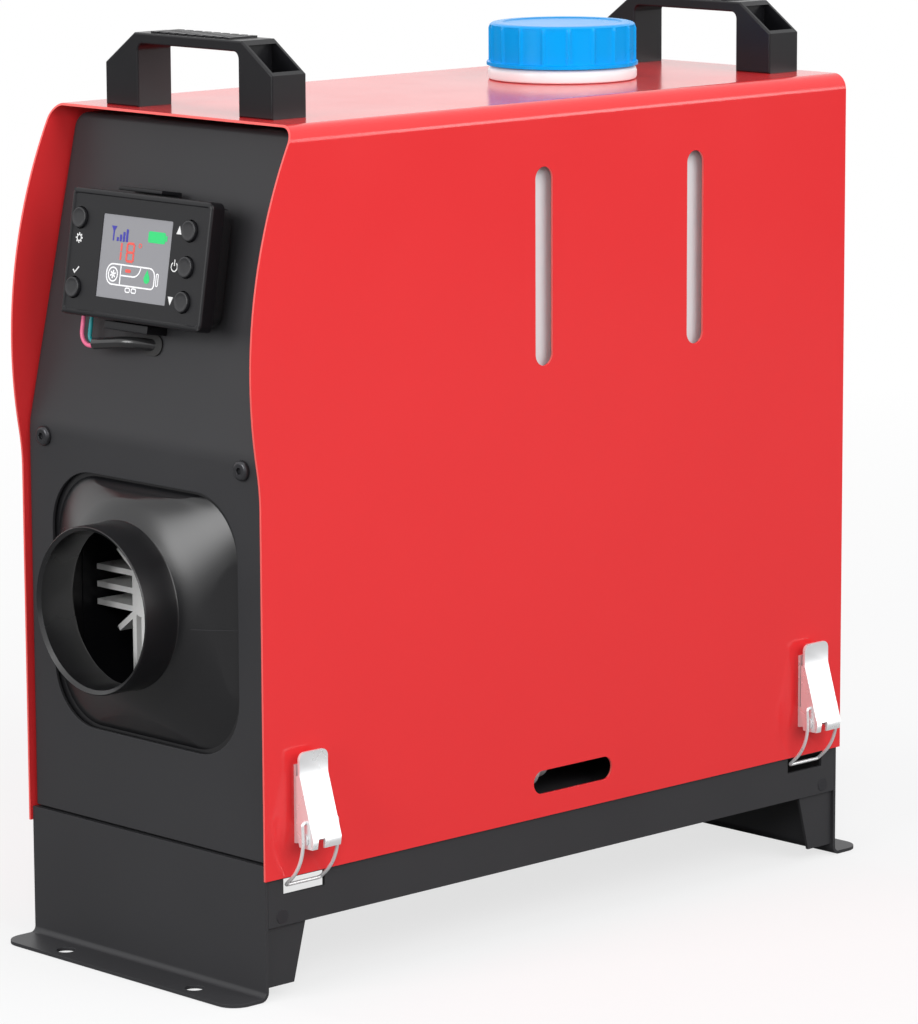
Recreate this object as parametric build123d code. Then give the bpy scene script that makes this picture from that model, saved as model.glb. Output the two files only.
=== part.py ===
"""All-in-one diesel air heater: a sheet-metal case with a fuel tank over an air heater.

Millimetres. +Z is up, the hot-air outlet faces -Y, the width runs along X.
The origin is on the floor, under the middle of the overall box.
"""
import os
from math import atan, cos, radians, sin, sqrt, tan

from build123d import *

os.makedirs("parts", exist_ok=True)

# ------------------------------------------------------------------ case
case_width = 150.0
case_length = 345.0
case_top = 352.0
cover_sheet = 1.0
cover_bend = 7.0
cover_lap = 7.0
cover_to_skirt = 0.3
steel_sheet = 1.5
sheet_bend = 2.5
tray_top = 57.0
skirt_bottom = 30.0
apron_set_back = 1.0
seam = 1.0
foot_reach = 17.0
foot_corner = 9.0
foot_hole_radius = 4.0
foot_hole_spacing = 82.0
foot_hole_reach = 9.0
ear_length = 15.0
ear_slant = 6.5
ear_bottom = 5.0
ear_top = 41.0
foot_rivet_radius = 2.0
foot_rivet_dome = 0.6
foot_rivet_rim = 1.0
foot_rivet_rise = 4.0

# bulged front edge of the cover's sides
bulge_reach = 4.5
bulge_height = 253.0
bulge_radius = 210.0
bulge_blend = 100.0

# slots in the cover
sight_width = 10.0
sight_height = 83.0
sight_middle = 284.0
sight_places = (158.0, 249.0)
hand_slot_length = 47.0
hand_slot_height = 10.0
hand_slot_place = 175.0
hand_slot_middle = 65.0

# ------------------------------------------------------------------ panels
panel_side_gap = 0.8
panel_set_back = 2.0
panel_lean = 0.225
panel_top_gap = 3.5
panel_flange = 12.0
cutout_side_gap = 2.0
cutout_height = 107.5
cutout_radius = 25.0
rear_set_back = 2.0
intake_hole_gap = 6.5
screw_radius = 2.0
screw_head_radius = 4.2
screw_head_height = 2.2
screw_inset = 11.2
screw_over_shelf = 5.5
panel_bend_over_screw = 4.5
screw_length = 7.0
hole_clearance = 0.3

# ------------------------------------------------------------------ handles
handle_width = 103.0
handle_depth = 18.3
handle_height = 30.5
handle_margin = 5.7
handle_front_margin = 9.0
handle_leg = 20.5
handle_bar = 4.5
handle_shoulder = 17.5
handle_chamfer_run = 18.5
handle_wall = 1.8
handle_pocket_floor = 5.0
handle_round = 0.8
handle_grip_round = 3.0
grip_rib_count = 9
grip_rib_width = 3.6
grip_rib_pitch = 5.6
grip_rib_height = 0.8
handle_screw_spacing = 7.5

# ------------------------------------------------------------------ tank and cap
shelf_height = 210.0
shelf_sheet = 1.2
shelf_flange_height = 9.0
shelf_hole_clearance = 2.0
tank_side_gap = 4.0
tank_front_gap = 44.0
tank_rear_gap = 12.0
tank_top = 344.0
tank_wall = 3.0
tank_round = 6.0
neck_place = 244.0
neck_radius = 28.0
neck_wall = 2.6
neck_top = 373.0
neck_hole_clearance = 0.6
ring_radius = 32.4
ring_height = 6.0
ring_round = 1.5
seal_thickness = 1.2
cap_radius = 31.4
cap_ridge = 0.8
cap_ridge_width = 1.5
cap_ridge_count = 18
cap_rim = 1.6
cap_rim_reach = 1.5
cap_top_thickness = 2.4
cap_clearance = 0.5
cap_gap = 0.3
cap_round = 1.6

# ------------------------------------------------------------------ heater unit
heater_under_shelf = 6.8
heater_side_gap = 17.2
heater_height = 105.0
heater_corner = 26.0
heater_wall = 2.5
heater_front = 14.0
collar_rise = 4.5
collar_radius = 34.7
collar_wall = 2.0
collar_reach = 26.5
collar_length = 17.5
bell_rim_gap = 0.5
bell_rim_reach = 5.5
bell_rim_sheet = 1.5
bell_ring = 5.0
bell_shoulder = 0.5
bell_draw = 12.0
bell_flat = 0.5
core_width = 52.0
core_corner = 12.0
core_bore = 23.5
exchanger_front = 20.0
nose_width = 56.0
nose_height = 21.0
nose_corner = 5.0
nose_length = 20.0
nose_rise = 2.5
side_fin_pitch = 7.5
side_fin_count = 3
upright_fin_pitch = 5.5
upright_fin_count = 11
corner_fin_length = 16.0
corner_fin_angle = 37.0
fin_thickness = 2.4
fin_gap = 2.0
fin_root = 3.0
pedestal_width = 62.0
pedestal_length = 66.0
pedestal_to_core_end = 24.0
pedestal_corner = 6.0
pedestal_roof = 6.0
gasket_thickness = 1.5
stud_spacing_x = 48.0
stud_spacing_y = 52.0
stud_radius = 3.0
stud_drop = 9.0
stud_rise = 14.0
nut_width = 10.0
nut_height = 5.0
stub_spacing = 30.0
exhaust_radius = 12.0
intake_radius = 11.0
stub_wall = 1.6
stub_bottom = 19.0
stub_grip = 26.0
stub_step = 1.0
chamber_radius = 19.0
chamber_wall = 1.5
chamber_length = 96.0
chamber_hole_radius = 2.0
chamber_hole_count = 8
plug_radius = 2.6
plug_length = 28.0
plug_nut = 7.5
plug_gap = 0.5
motor_radius = 22.0
motor_to_shell_end = 88.0
motor_to_core_end = 34.0
motor_length = 44.0
motor_round = 3.0
motor_flange_sheet = 2.5
motor_ring_wall = 2.0
shaft_radius = 2.5
shaft_clearance = 0.05
combustion_fan_radius = 31.0
combustion_fan_width = 9.0
combustion_blades = 12
combustion_fan_sheet = 1.5
air_fan_gap = 6.5
air_fan_hub = 18.0
air_fan_width = 14.0
air_fan_round = 4.0
air_blades = 9
blade_thickness = 1.6
blade_pitch = 38.0
fan_gap = 3.0
board_length = 42.0
board_width = 58.0
board_thickness = 1.6
board_drop = 9.0
board_post_radius = 3.0
board_post_inset = 6.0
chip_size = (24.0, 16.0, 3.0)
chip_place = 14.0
socket_size = (10.0, 28.0, 6.0)
socket_place = 8.0
socket_inset = 4.0
guard_ring_width = 2.4
guard_outer_gap = 4.5
guard_ring_count = 4
guard_spokes = 6
guard_hub = 9.0
guard_thickness = 2.5
guard_lip = 4.0
guard_reach = 41.0

# ------------------------------------------------------------------ fuel run
pump_radius = 11.0
pump_length = 48.0
pump_place = 143.5
nozzle_length = 8.0
pump_lift = 3.0
hose_radius = 3.2
spigot_radius = 2.0
hose_inset = 13.2
hose_place = 53.0
hose_bend = 20.0
filter_radius = 9.0
filter_length = 20.0
filter_place = 92.0
line_radius = 2.6
line_bend = 18.0
line_bend_share = 0.9
fuel_inlet_x = 22.0
clamp_width = 14.0
clamp_wall = 2.0
clamp_foot = 8.0
outlet_body_radius = 4.0
outlet_flange_radius = 6.0
outlet_flange_height = 3.0
outlet_reach = 14.0

# ------------------------------------------------------------------ controller
controller_width = 87.0
controller_height = 52.0
controller_rise = 72.1
controller_tilt = 3.56
controller_depth = 16.6
controller_round = 3.0
bezel_depth = 6.6
bezel_wall = 1.5
bezel_round = 1.2
bracket_sheet = 2.0
bracket_width = 62.0
bracket_inset = 2.0
clip_width = 27.0
clip_x = -8.0
upper_clip_reach = 2.2
lower_clip_reach = 4.0
clip_gap = 0.6
clip_lip = 1.0
back_inset = 1.0
back_chamfer = 1.0
screen_side_margins = 43.8
screen_end_margins = 18.0
screen_x = -1.2
screen_y = -0.4
screen_recess = 0.4
screen_lip = 2.0
button_radius = 4.2
button_gap = 0.3
button_rest_gap = 0.05
button_proud = 0.9
button_travel = 1.0
button_round = 0.6
button_flange = 0.6
button_flange_height = 1.2
right_button_inset = 12.3
left_button_inset = 6.6
upper_button_inset = 12.4
middle_button_y = -0.9
lower_button_inset = 11.1
lead_radius = 2.4
lead_lift = 7.3
lead_bend = 15.0
lead_slant = 55.0
lead_start_x = -29.5
lead_sag = 2.9
lead_hole_x = -2.0
lead_hole_drop = 8.5
lead_drop_depth = 14.5
wire_radius = 0.9
wire_bend = 4.2
wire_spread = 1.5
wire_run = 2.0
grommet_wall = 1.1
grommet_lip = 0.8
grommet_length = 11.0
supply_hole_x = -50.0
supply_hole_z = 80.0

# ------------------------------------------------------------------ latches
latch_inset = 22.0
lever_width = 15.4
lever_sheet = 1.2
lever_top = 101.5
lever_kink = 92.0
lever_bottom = 62.8
lever_notch_width = 3.6
lever_notch_place = -2.9
lever_notch_height = 4.2
lever_tip_gap = 4.0
lever_tip_round = 3.0
lever_web_taper = 0.6
lever_side_reach = 3.4
lever_throat_rise = 4.0
pivot_out = 8.0
pivot_height = 66.5
pivot_radius = 1.5
pivot_to_web = 5.0
bail_arm = 7.0
bail_lean = 0.4
bail_radius = 0.75
bail_bend = 22.0
bail_elbow_out = 0.8
bail_elbow_rise = 10.0
bail_corner = 1.2
hinge_clearance = 0.05
latch_side_gap = 0.3
pin_head = 0.4
pin_head_rim = 0.9
plate_bottom = 63.6
plate_top = 96.0
latch_rivet_radius = 1.6
latch_rivet_rim = 0.9
latch_rivet_rise = 0.8
latch_rivet_flare = 0.6
latch_rivet_spacing = 9.0
latch_rivet_low = 80.5
catch_slot_width = 22.4
catch_slot_bottom = 42.7
catch_slot_top = 49.3
catch_clearance = 2.2

# ------------------------------------------------------------------ worked out from the above
front_y = -(case_length + foot_reach - collar_reach) / 2
rear_y = front_y + case_length
middle_y = (front_y + rear_y) / 2
cover_bottom = tray_top - cover_lap
cover_outside = case_width / 2
cover_inside = cover_outside - cover_sheet
skirt_outside = cover_inside - cover_to_skirt
skirt_inside = skirt_outside - steel_sheet
panel_side = cover_inside - panel_side_gap
panel_top = case_top - cover_sheet - panel_top_gap
screw_spacing = 2 * (panel_side - screw_inset)
screw_height = shelf_height + screw_over_shelf
panel_bend_height = screw_height + panel_bend_over_screw
panel_angle = atan(panel_lean)
panel_y = front_y + panel_set_back
rear_panel_y = rear_y - rear_set_back
axis_y = front_y + neck_place
heater_width = 2 * (panel_side - heater_side_gap)
heater_axis = shelf_height - shelf_sheet - heater_under_shelf - heater_height / 2
heater_rear = case_length - rear_set_back - guard_reach
cutout_width = heater_width + 2 * cutout_side_gap
collar_height = heater_axis + collar_rise
tank_width = 2 * (cover_inside - tank_side_gap)
hose_x = panel_side - hose_inset
motor_front = heater_rear - motor_to_shell_end
exchanger_length = motor_front - motor_to_core_end - exchanger_front
pedestal_place = exchanger_front + exchanger_length - pedestal_to_core_end
shaft_y = front_y + motor_front
pedestal_y = front_y + pedestal_place
air_fan_radius = heater_width / 2 - heater_wall - air_fan_gap
intake_hole_radius = heater_width / 2 - intake_hole_gap
guard_ring_pitch = (intake_hole_radius - guard_outer_gap - guard_hub) / guard_ring_count
screen_width = controller_width - screen_side_margins
screen_height = controller_height - screen_end_margins
bracket_height = controller_height - 2 * bracket_inset
right_buttons_x = controller_width / 2 - right_button_inset
left_buttons_x = left_button_inset - controller_width / 2
upper_button_y = controller_height / 2 - upper_button_inset
lower_button_y = lower_button_inset - controller_height / 2
lead_hole_y = -controller_height / 2 - lead_hole_drop
shell_inside_height = heater_height / 2 - heater_wall


# ------------------------------------------------------------------ helpers
def block(x_low, x_high, y_low, y_high, z_low, z_high):
    """A box between two corners."""
    centre = Pos((x_low + x_high) / 2, (y_low + y_high) / 2, (z_low + z_high) / 2)
    return centre * Box(x_high - x_low, y_high - y_low, z_high - z_low)


def front_plane(y, z=0.0, x=0.0):
    """A sketch plane that faces the front: local x is X, local y is Z."""
    return Plane(origin=(x, y, z), x_dir=(1, 0, 0), z_dir=(0, -1, 0))


def side_prism(face, x_low, x_high):
    """A YZ outline, drawn as (y, z), pushed from one x to another."""
    return Pos(x_low, 0, 0) * extrude(Plane.YZ * face, amount=x_high - x_low)


def rod_x(radius, x_low, x_high, y, z):
    """A round bar along X."""
    return Pos((x_low + x_high) / 2, y, z) * Rot(0, 90, 0) * Cylinder(radius, x_high - x_low)


def rod_y(radius, y_low, y_high, x, z):
    """A round bar along Y."""
    return Pos(x, (y_low + y_high) / 2, z) * Rot(90, 0, 0) * Cylinder(radius, y_high - y_low)


def rod_z(radius, x, y, z_low, z_high):
    """A round bar along Z."""
    return Pos(x, y, (z_low + z_high) / 2) * Cylinder(radius, z_high - z_low)


def both_sides(shape):
    """The shape and its mirror image across the middle plane X = 0."""
    return [shape, mirror(shape, about=Plane.YZ)]


def tube_along(points, radii, radius, bore=0.0):
    """A round tube along straight runs joined by tangent arcs."""
    path = FilletPolyline(*points, radius=radii)
    section = Circle(radius)
    if bore > 0:
        section = section - Circle(bore)
    start = Plane(origin=path @ 0, z_dir=path % 0)
    return sweep(start * section, path=path)


def write(name, shape):
    """Write one named piece, or a group of like solids, to its file."""
    if isinstance(shape, (list, tuple)):
        solids = [solid for item in shape for solid in item.solids()]
    else:
        solids = shape.solids()
    body = solids[0] if len(solids) == 1 else Compound(children=solids)
    body.label = name
    export_step(body, f"parts/{name}.step")


# ------------------------------------------------------------------ base and feet
def catch_slots():
    """Cutters for the four slots that the latch bails hook into."""
    cutters = []
    for y in latch_places():
        cutters += both_sides(block(
            skirt_inside - 1, skirt_outside + 1,
            y - catch_slot_width / 2, y + catch_slot_width / 2,
            catch_slot_bottom, catch_slot_top))
    return cutters


def latch_places():
    """The y of the front and rear latches."""
    return (front_y + latch_inset, rear_y - latch_inset)


def base_tray():
    """A plate with a skirt down each side, pierced for the stubs, studs and catches."""
    y_low = front_y + apron_set_back + steel_sheet
    y_high = rear_y - apron_set_back - steel_sheet
    outer = block(-skirt_outside, skirt_outside, y_low, y_high, skirt_bottom, tray_top)
    long_edges = outer.edges().filter_by(Axis.Y).group_by(Axis.Z)[-1]
    outer = fillet(long_edges, sheet_bend)
    inner = block(-skirt_inside, skirt_inside, y_low - 1, y_high + 1,
                  skirt_bottom - 1, tray_top - steel_sheet)
    inner = fillet(inner.edges().filter_by(Axis.Y).group_by(Axis.Z)[-1], sheet_bend - steel_sheet)
    tray = outer - inner
    for cutter in catch_slots():
        tray -= cutter
    for x, radius in stub_sizes():
        tray -= rod_z(radius + 2 * hole_clearance, x, pedestal_y, skirt_bottom, tray_top + 1)
    for x, y in stud_places():
        tray -= rod_z(stud_radius + hole_clearance, x, y, skirt_bottom, tray_top + 1)
    for x, y, z in foot_rivet_places():
        tray -= rod_x(foot_rivet_radius, x - 3, x + 3, y, z)
    return tray


def foot_rivet_places():
    """Where each foot's ears are riveted to the skirt."""
    y_in = apron_set_back + steel_sheet + ear_length / 2
    z = skirt_bottom + foot_rivet_rise
    return [(side * (skirt_outside + skirt_inside) / 2, y, z)
            for side in (-1, 1) for y in (front_y + y_in, rear_y - y_in)]


def foot():
    """The front foot: an apron bent out into a foot plate, with two ears behind it."""
    face_y = front_y + apron_set_back
    back_y = face_y + steel_sheet
    apron_top = tray_top - seam
    tip_y = front_y - foot_reach
    outline = Polyline(
        (tip_y, 0), (back_y, 0), (back_y, apron_top), (face_y, apron_top),
        (face_y, steel_sheet), (tip_y, steel_sheet), close=True)
    sheet = side_prism(make_face(outline), -skirt_outside, skirt_outside)
    inner_bend = sheet.edges().filter_by(Axis.X).sort_by_distance((0, face_y, steel_sheet))[0]
    sheet = fillet(inner_bend, sheet_bend)
    outer_bend = sheet.edges().filter_by(Axis.X).sort_by_distance((0, back_y, 0))[0]
    sheet = fillet(outer_bend, sheet_bend + steel_sheet - 0.01)
    corners = sheet.edges().filter_by(Axis.Z).group_by(Axis.Y)[0]
    sheet = fillet(corners, foot_corner)
    for x in (-foot_hole_spacing / 2, foot_hole_spacing / 2):
        sheet -= rod_z(foot_hole_radius, x, front_y - foot_hole_reach, -1, steel_sheet + 1)
    ear_back = back_y + ear_length
    ear = make_face(Polyline(
        (back_y, ear_bottom), (ear_back, ear_bottom), (ear_back + ear_slant, skirt_bottom),
        (ear_back + ear_slant, ear_top), (back_y, ear_top), close=True))
    ear_solid = side_prism(ear, skirt_inside - steel_sheet, skirt_inside)
    sheet += both_sides(ear_solid)
    for x, y, z in foot_rivet_places():
        if y < middle_y:
            sheet -= rod_x(foot_rivet_radius, x - 4, x + 4, y, z)
    return sheet


def rear_copy(shape):
    """The same piece turned round to the rear end of the case."""
    return mirror(shape, about=Plane(origin=(0, middle_y, 0), z_dir=(0, 1, 0)))


def foot_rivets():
    """One domed rivet through each ear and the skirt outside it."""
    rivets = []
    for x, y, z in foot_rivet_places():
        if x > 0:
            shank = rod_x(foot_rivet_radius, skirt_inside - steel_sheet - foot_rivet_dome,
                          skirt_outside, y, z)
            head = rod_x(foot_rivet_radius + foot_rivet_rim, skirt_outside,
                         skirt_outside + foot_rivet_dome / 3, y, z)
            rivets += both_sides(shank + head)
    return rivets


# ------------------------------------------------------------------ panels
def panel_line(depth):
    """Front panel outline at a depth behind its outer face, bottom to top, as (y, z)."""
    lean_run = (panel_top - panel_bend_height) * tan(panel_angle)
    return [
        (panel_y + depth, tray_top),
        (panel_y + depth, panel_bend_height - depth * tan(panel_angle / 2)),
        (panel_y + depth / cos(panel_angle) + lean_run, panel_top)]


def panel_layer(near, far):
    """The area between two depths behind the panel's outer face."""
    return make_face(Polyline(*panel_line(near), *reversed(panel_line(far)), close=True))


def panel_frame():
    """A frame on the sloping panel behind the controller: local z points out of the panel."""
    z = panel_bend_height + controller_rise
    y = panel_y + (z - panel_bend_height) * tan(panel_angle)
    return Plane(origin=(0, y, z), x_dir=(1, 0, 0),
                 z_dir=(0, -cos(panel_angle), sin(panel_angle)))


def controller_frame():
    """The controller's own frame, tipped off the panel about its lower edge."""
    lower_edge = panel_frame().location * Pos(0, -controller_height / 2, 0)
    return Plane(lower_edge * Rot(controller_tilt, 0, 0) * Pos(0, controller_height / 2, 0))


def on_panel(x, y, out):
    """A point given in the panel's frame, in the part's frame."""
    point = panel_frame().from_local_coords(Vector(x, y, out))
    return (point.X, point.Y, point.Z)


def place_on_panel(shape):
    """Move a shape from the panel's frame onto the sloping panel."""
    return panel_frame().location * shape


def front_panel():
    """A bent sheet with folded sides, top and bottom, open for the outlet."""
    panel = side_prism(panel_layer(0, steel_sheet), -panel_side, panel_side)
    fold = side_prism(panel_layer(steel_sheet, panel_flange), panel_side - steel_sheet, panel_side)
    panel += both_sides(fold)
    panel += block(-panel_side, panel_side, panel_y + steel_sheet, panel_y + panel_flange,
                   tray_top, tray_top + steel_sheet)
    top_front = panel_line(steel_sheet)[-1][0]
    panel += block(-panel_side, panel_side, top_front - steel_sheet / 2, top_front + panel_flange,
                   panel_top - steel_sheet, panel_top)
    opening = RectangleRounded(cutout_width, cutout_height, cutout_radius)
    panel -= extrude(front_plane(panel_y + 3 * steel_sheet, heater_axis) * opening,
                     amount=6 * steel_sheet)
    for x in (-screw_spacing / 2, screw_spacing / 2):
        panel -= rod_y(screw_radius + hole_clearance, panel_y - 1, panel_y + 3 * steel_sheet,
                       x, screw_height)
    panel -= place_on_panel(grommet_slot(0.0, 4 * steel_sheet))
    return panel & inside_cover()


def inside_cover():
    """The room for the panels, rounded at the top like the cover's bends."""
    height = panel_top - tray_top
    room = Pos(0, height / 2) * Rectangle(2 * panel_side, height)
    room = fillet(room.vertices().group_by(Axis.Y)[-1], cover_bend)
    return extrude(front_plane(rear_y, tray_top) * room, amount=case_length + bulge_reach)


def grommet_slot(extra, height):
    """The obround of the lead's grommet, in the panel's frame."""
    width = 2 * (lead_radius + grommet_wall)
    slot = SlotOverall(grommet_length + 2 * extra, width + 2 * extra)
    return Pos(lead_hole_x, lead_hole_y, -height / 2) * extrude(slot, amount=height)


def rear_panel():
    """A flat sheet with folded sides and a round hole for the heater's intake."""
    y_in = rear_panel_y - steel_sheet
    panel = block(-panel_side, panel_side, y_in, rear_panel_y, tray_top, panel_top)
    panel += both_sides(block(panel_side - steel_sheet, panel_side,
                              rear_panel_y - panel_flange, y_in, tray_top, panel_top))
    for z_low in (tray_top, panel_top - steel_sheet):
        panel += block(-panel_side, panel_side, rear_panel_y - panel_flange, y_in,
                       z_low, z_low + steel_sheet)
    panel -= rod_y(intake_hole_radius, y_in - 1, rear_panel_y + 1, 0, heater_axis)
    for x in (-screw_spacing / 2, screw_spacing / 2):
        panel -= rod_y(screw_radius + hole_clearance, y_in - 1, rear_panel_y + 1, x, screw_height)
    panel -= rod_y(lead_radius + grommet_wall, y_in - 1, rear_panel_y + 1,
                   supply_hole_x, supply_hole_z)
    return panel & inside_cover()


def panel_screws():
    """Four socket button-head screws that hold the shelf to both panels."""
    head = Cylinder(screw_head_radius, screw_head_height,
                    align=(Align.CENTER, Align.CENTER, Align.MIN))
    head = fillet(head.edges().group_by(Axis.Z)[-1], screw_head_height * 0.7)
    socket = extrude(RegularPolygon(screw_radius * 0.8, 6), amount=screw_head_height)
    head -= Pos(0, 0, screw_head_height * 0.4) * socket
    shank = Cylinder(screw_radius, screw_length, align=(Align.CENTER, Align.CENTER, Align.MAX))
    screw = head + shank
    screws = []
    for x in (-screw_spacing / 2, screw_spacing / 2):
        front = front_plane(panel_y, screw_height, x).location * screw
        screws.append(front)
        rear = Plane(origin=(x, rear_panel_y, screw_height), x_dir=(1, 0, 0), z_dir=(0, 1, 0))
        screws.append(rear.location * screw)
    return screws


def tank_shelf():
    """The sheet that carries the tank, with a flange up at each end."""
    y_low = panel_y + steel_sheet
    y_high = rear_panel_y - steel_sheet
    x_edge = panel_side - steel_sheet - hole_clearance
    flange_top = shelf_height + shelf_flange_height
    shelf = block(-x_edge, x_edge, y_low, y_high, shelf_height - shelf_sheet, shelf_height)
    shelf += block(-x_edge, x_edge, y_low, y_low + shelf_sheet, shelf_height, flange_top)
    shelf += block(-x_edge, x_edge, y_high - shelf_sheet, y_high, shelf_height, flange_top)
    for x in (-screw_spacing / 2, screw_spacing / 2):
        shelf -= rod_y(screw_radius, y_low - 1, y_high + 1, x, screw_height)
    lead_x, lead_y = lead_drop()
    for x, y, radius in ((lead_x, lead_y, lead_radius + shelf_hole_clearance),
                         (hose_x, front_y + hose_place, outlet_body_radius)):
        shelf -= rod_z(radius, x, y, shelf_height - 2 * shelf_sheet, shelf_height + 1)
    return shelf


# ------------------------------------------------------------------ cover and handles
def cover_outline():
    """The cover seen from the side, with its bulged front edge, as (y, z)."""
    centre_y = front_y - bulge_reach + bulge_radius
    drop = sqrt(bulge_radius ** 2 - (bulge_radius - bulge_reach) ** 2)
    foot_z = bulge_height - drop
    top_y = centre_y - sqrt(bulge_radius ** 2 - (case_top - bulge_height) ** 2)
    edge = Line((front_y, cover_bottom), (front_y, foot_z))
    edge += ThreePointArc((front_y, foot_z), (front_y - bulge_reach, bulge_height),
                          (top_y, case_top))
    edge += Polyline((top_y, case_top), (rear_y, case_top), (rear_y, cover_bottom),
                     (front_y, cover_bottom))
    face = make_face(edge)
    knee = face.vertices().sort_by_distance((front_y, foot_z, 0))[0]
    return fillet(knee, bulge_blend)


def cover_section():
    """The folded sheet seen from the front: two sides and a top, open below."""
    height = case_top - cover_bottom
    outer = Pos(0, height / 2) * Rectangle(case_width, height)
    outer = fillet(outer.vertices().group_by(Axis.Y)[-1], cover_bend)
    inner_height = height - cover_sheet
    inner = Pos(0, inner_height / 2) * Rectangle(2 * cover_inside, inner_height)
    inner = fillet(inner.vertices().group_by(Axis.Y)[-1], cover_bend - cover_sheet)
    return outer - inner


def red_cover():
    """The lift-off cover, one folded sheet with sight slots and a hole for the neck."""
    length = case_length + 2 * bulge_reach
    cover = extrude(front_plane(rear_y, cover_bottom) * cover_section(), amount=length)
    cover &= side_prism(cover_outline(), -cover_outside, cover_outside)
    sight = SlotOverall(sight_height, sight_width, rotation=90)
    for place in sight_places:
        window = Pos(front_y + place, sight_middle) * sight
        cover -= side_prism(window, -case_width, case_width)
    hand_slot = Pos(front_y + hand_slot_place, hand_slot_middle) * SlotOverall(
        hand_slot_length, hand_slot_height)
    cover -= side_prism(hand_slot, 0, case_width)
    cover -= rod_z(neck_radius + neck_hole_clearance, 0, axis_y, case_top - 5, case_top + 1)
    for x, y in handle_screw_places():
        cover -= rod_z(screw_radius + hole_clearance, x, y, case_top - 5, case_top + 1)
    for x, y, z in latch_rivet_places():
        cover -= rod_x(latch_rivet_radius, x - 3, x + 3, y, z)
    return cover


def handle_middles():
    """The y of the two handles' middles."""
    run = case_top - bulge_height
    top_front = front_y - bulge_reach + bulge_radius - sqrt(bulge_radius ** 2 - run ** 2)
    return (top_front + handle_front_margin + handle_depth / 2,
            rear_y - handle_margin - handle_depth / 2)


def handle_screw_places():
    """Two screws up into each leg of each handle."""
    leg_middle = (handle_width - handle_leg) / 2
    return [(side * leg_middle + shift, y)
            for side in (-1, 1)
            for shift in (-handle_screw_spacing / 2, handle_screw_spacing / 2)
            for y in handle_middles()]


def handle(middle):
    """A moulded bridge handle: chamfered shoulders with open pockets, ribbed on top."""
    half = handle_width / 2
    opening_half = half - handle_leg
    top = case_top + handle_height
    shoulder = case_top + handle_shoulder
    outline = make_face(Polyline(
        (-half, case_top), (-half, shoulder), (-half + handle_chamfer_run, top),
        (half - handle_chamfer_run, top), (half, shoulder), (half, case_top), close=True))
    gap_height = handle_height - handle_bar
    gap = Pos(0, case_top + gap_height / 2) * Rectangle(2 * opening_half, gap_height)
    gap = fillet(gap.vertices().group_by(Axis.Y)[-1], handle_grip_round)
    body = extrude(front_plane(middle + handle_depth / 2) * (outline - gap), amount=handle_depth)
    faces = body.edges().group_by(Axis.Y)
    body = fillet(faces[0] + faces[-1], handle_round)
    pocket_outer = half - handle_wall
    pocket_inner = opening_half + handle_wall
    for side in (-1, 1):
        low, high = sorted((side * pocket_inner, side * pocket_outer))
        body -= block(low, high, middle - handle_depth / 2 + handle_wall,
                      middle + handle_depth / 2 - handle_wall,
                      case_top + handle_pocket_floor, top - handle_wall)
    first = -(grip_rib_count - 1) / 2 * grip_rib_pitch
    rib_depth = handle_depth / 2 - 2 * handle_round
    for index in range(grip_rib_count):
        x = first + index * grip_rib_pitch
        body += block(x - grip_rib_width / 2, x + grip_rib_width / 2,
                      middle - rib_depth, middle + rib_depth, top - 0.5, top + grip_rib_height)
    for x, y in handle_screw_places():
        body -= rod_z(screw_radius, x, y, case_top - 1, case_top + handle_pocket_floor + 1)
    return body


def handle_screws():
    """Pan-head screws up through the cover's top into the handles."""
    screws = []
    under = case_top - cover_sheet
    for x, y in handle_screw_places():
        head = rod_z(screw_head_radius * 0.8, x, y, under - screw_head_height, under)
        screws.append(head + rod_z(screw_radius, x, y, under, case_top + handle_pocket_floor))
    return screws


# ------------------------------------------------------------------ tank and cap
def fuel_tank():
    """A blow-moulded tank with a wide filler neck, hollow inside."""
    y_low = front_y + tank_front_gap
    y_high = rear_panel_y - tank_rear_gap
    half = tank_width / 2
    body = block(-half, half, y_low, y_high, shelf_height, tank_top)
    body = fillet(body.edges(), tank_round)
    body += rod_z(neck_radius, 0, axis_y, tank_top - tank_wall, neck_top)
    hollow = block(-half + tank_wall, half - tank_wall, y_low + tank_wall, y_high - tank_wall,
                   shelf_height + tank_wall, tank_top - tank_wall)
    hollow = fillet(hollow.edges(), tank_round - tank_wall)
    body -= hollow
    body -= rod_z(neck_radius - neck_wall, 0, axis_y, tank_top - 2 * tank_wall, neck_top + 1)
    body -= rod_z(spigot_radius, hose_x, front_y + hose_place, shelf_height - 1,
                  shelf_height + tank_wall + 1)
    return body


def tank_collar():
    """The ring that closes the gap between the filler neck and the cover."""
    ring = rod_z(ring_radius, 0, axis_y, case_top, case_top + ring_height)
    ring = fillet(ring.edges().filter_by(GeomType.CIRCLE), ring_round)
    return ring - rod_z(neck_radius, 0, axis_y, case_top - 1, case_top + ring_height + 1)


def cap_seal():
    """The soft liner that the cap presses on the neck."""
    return rod_z(neck_radius, 0, axis_y, neck_top, neck_top + seal_thickness)


def fuel_cap():
    """The screw cap: a ridged skirt with a wider rim, over the neck."""
    bottom = case_top + ring_height + cap_gap
    inside_top = neck_top + seal_thickness
    top = inside_top + cap_top_thickness
    cap = rod_z(cap_radius, 0, axis_y, bottom, top)
    cap = fillet(cap.edges().group_by(Axis.Z)[-1], cap_round)
    cap += rod_z(cap_radius + cap_rim_reach, 0, axis_y, bottom, bottom + cap_rim)
    ridge_low = bottom + cap_rim / 2
    for index in range(cap_ridge_count):
        ridge = Pos(cap_radius, 0, (ridge_low + top - cap_round) / 2) * Box(
            2 * cap_ridge, cap_ridge_width, top - cap_round - ridge_low)
        cap += Pos(0, axis_y, 0) * Rot(0, 0, index * 360 / cap_ridge_count) * ridge
    return cap - rod_z(neck_radius + cap_clearance, 0, axis_y, bottom - 1, inside_top)


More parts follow.
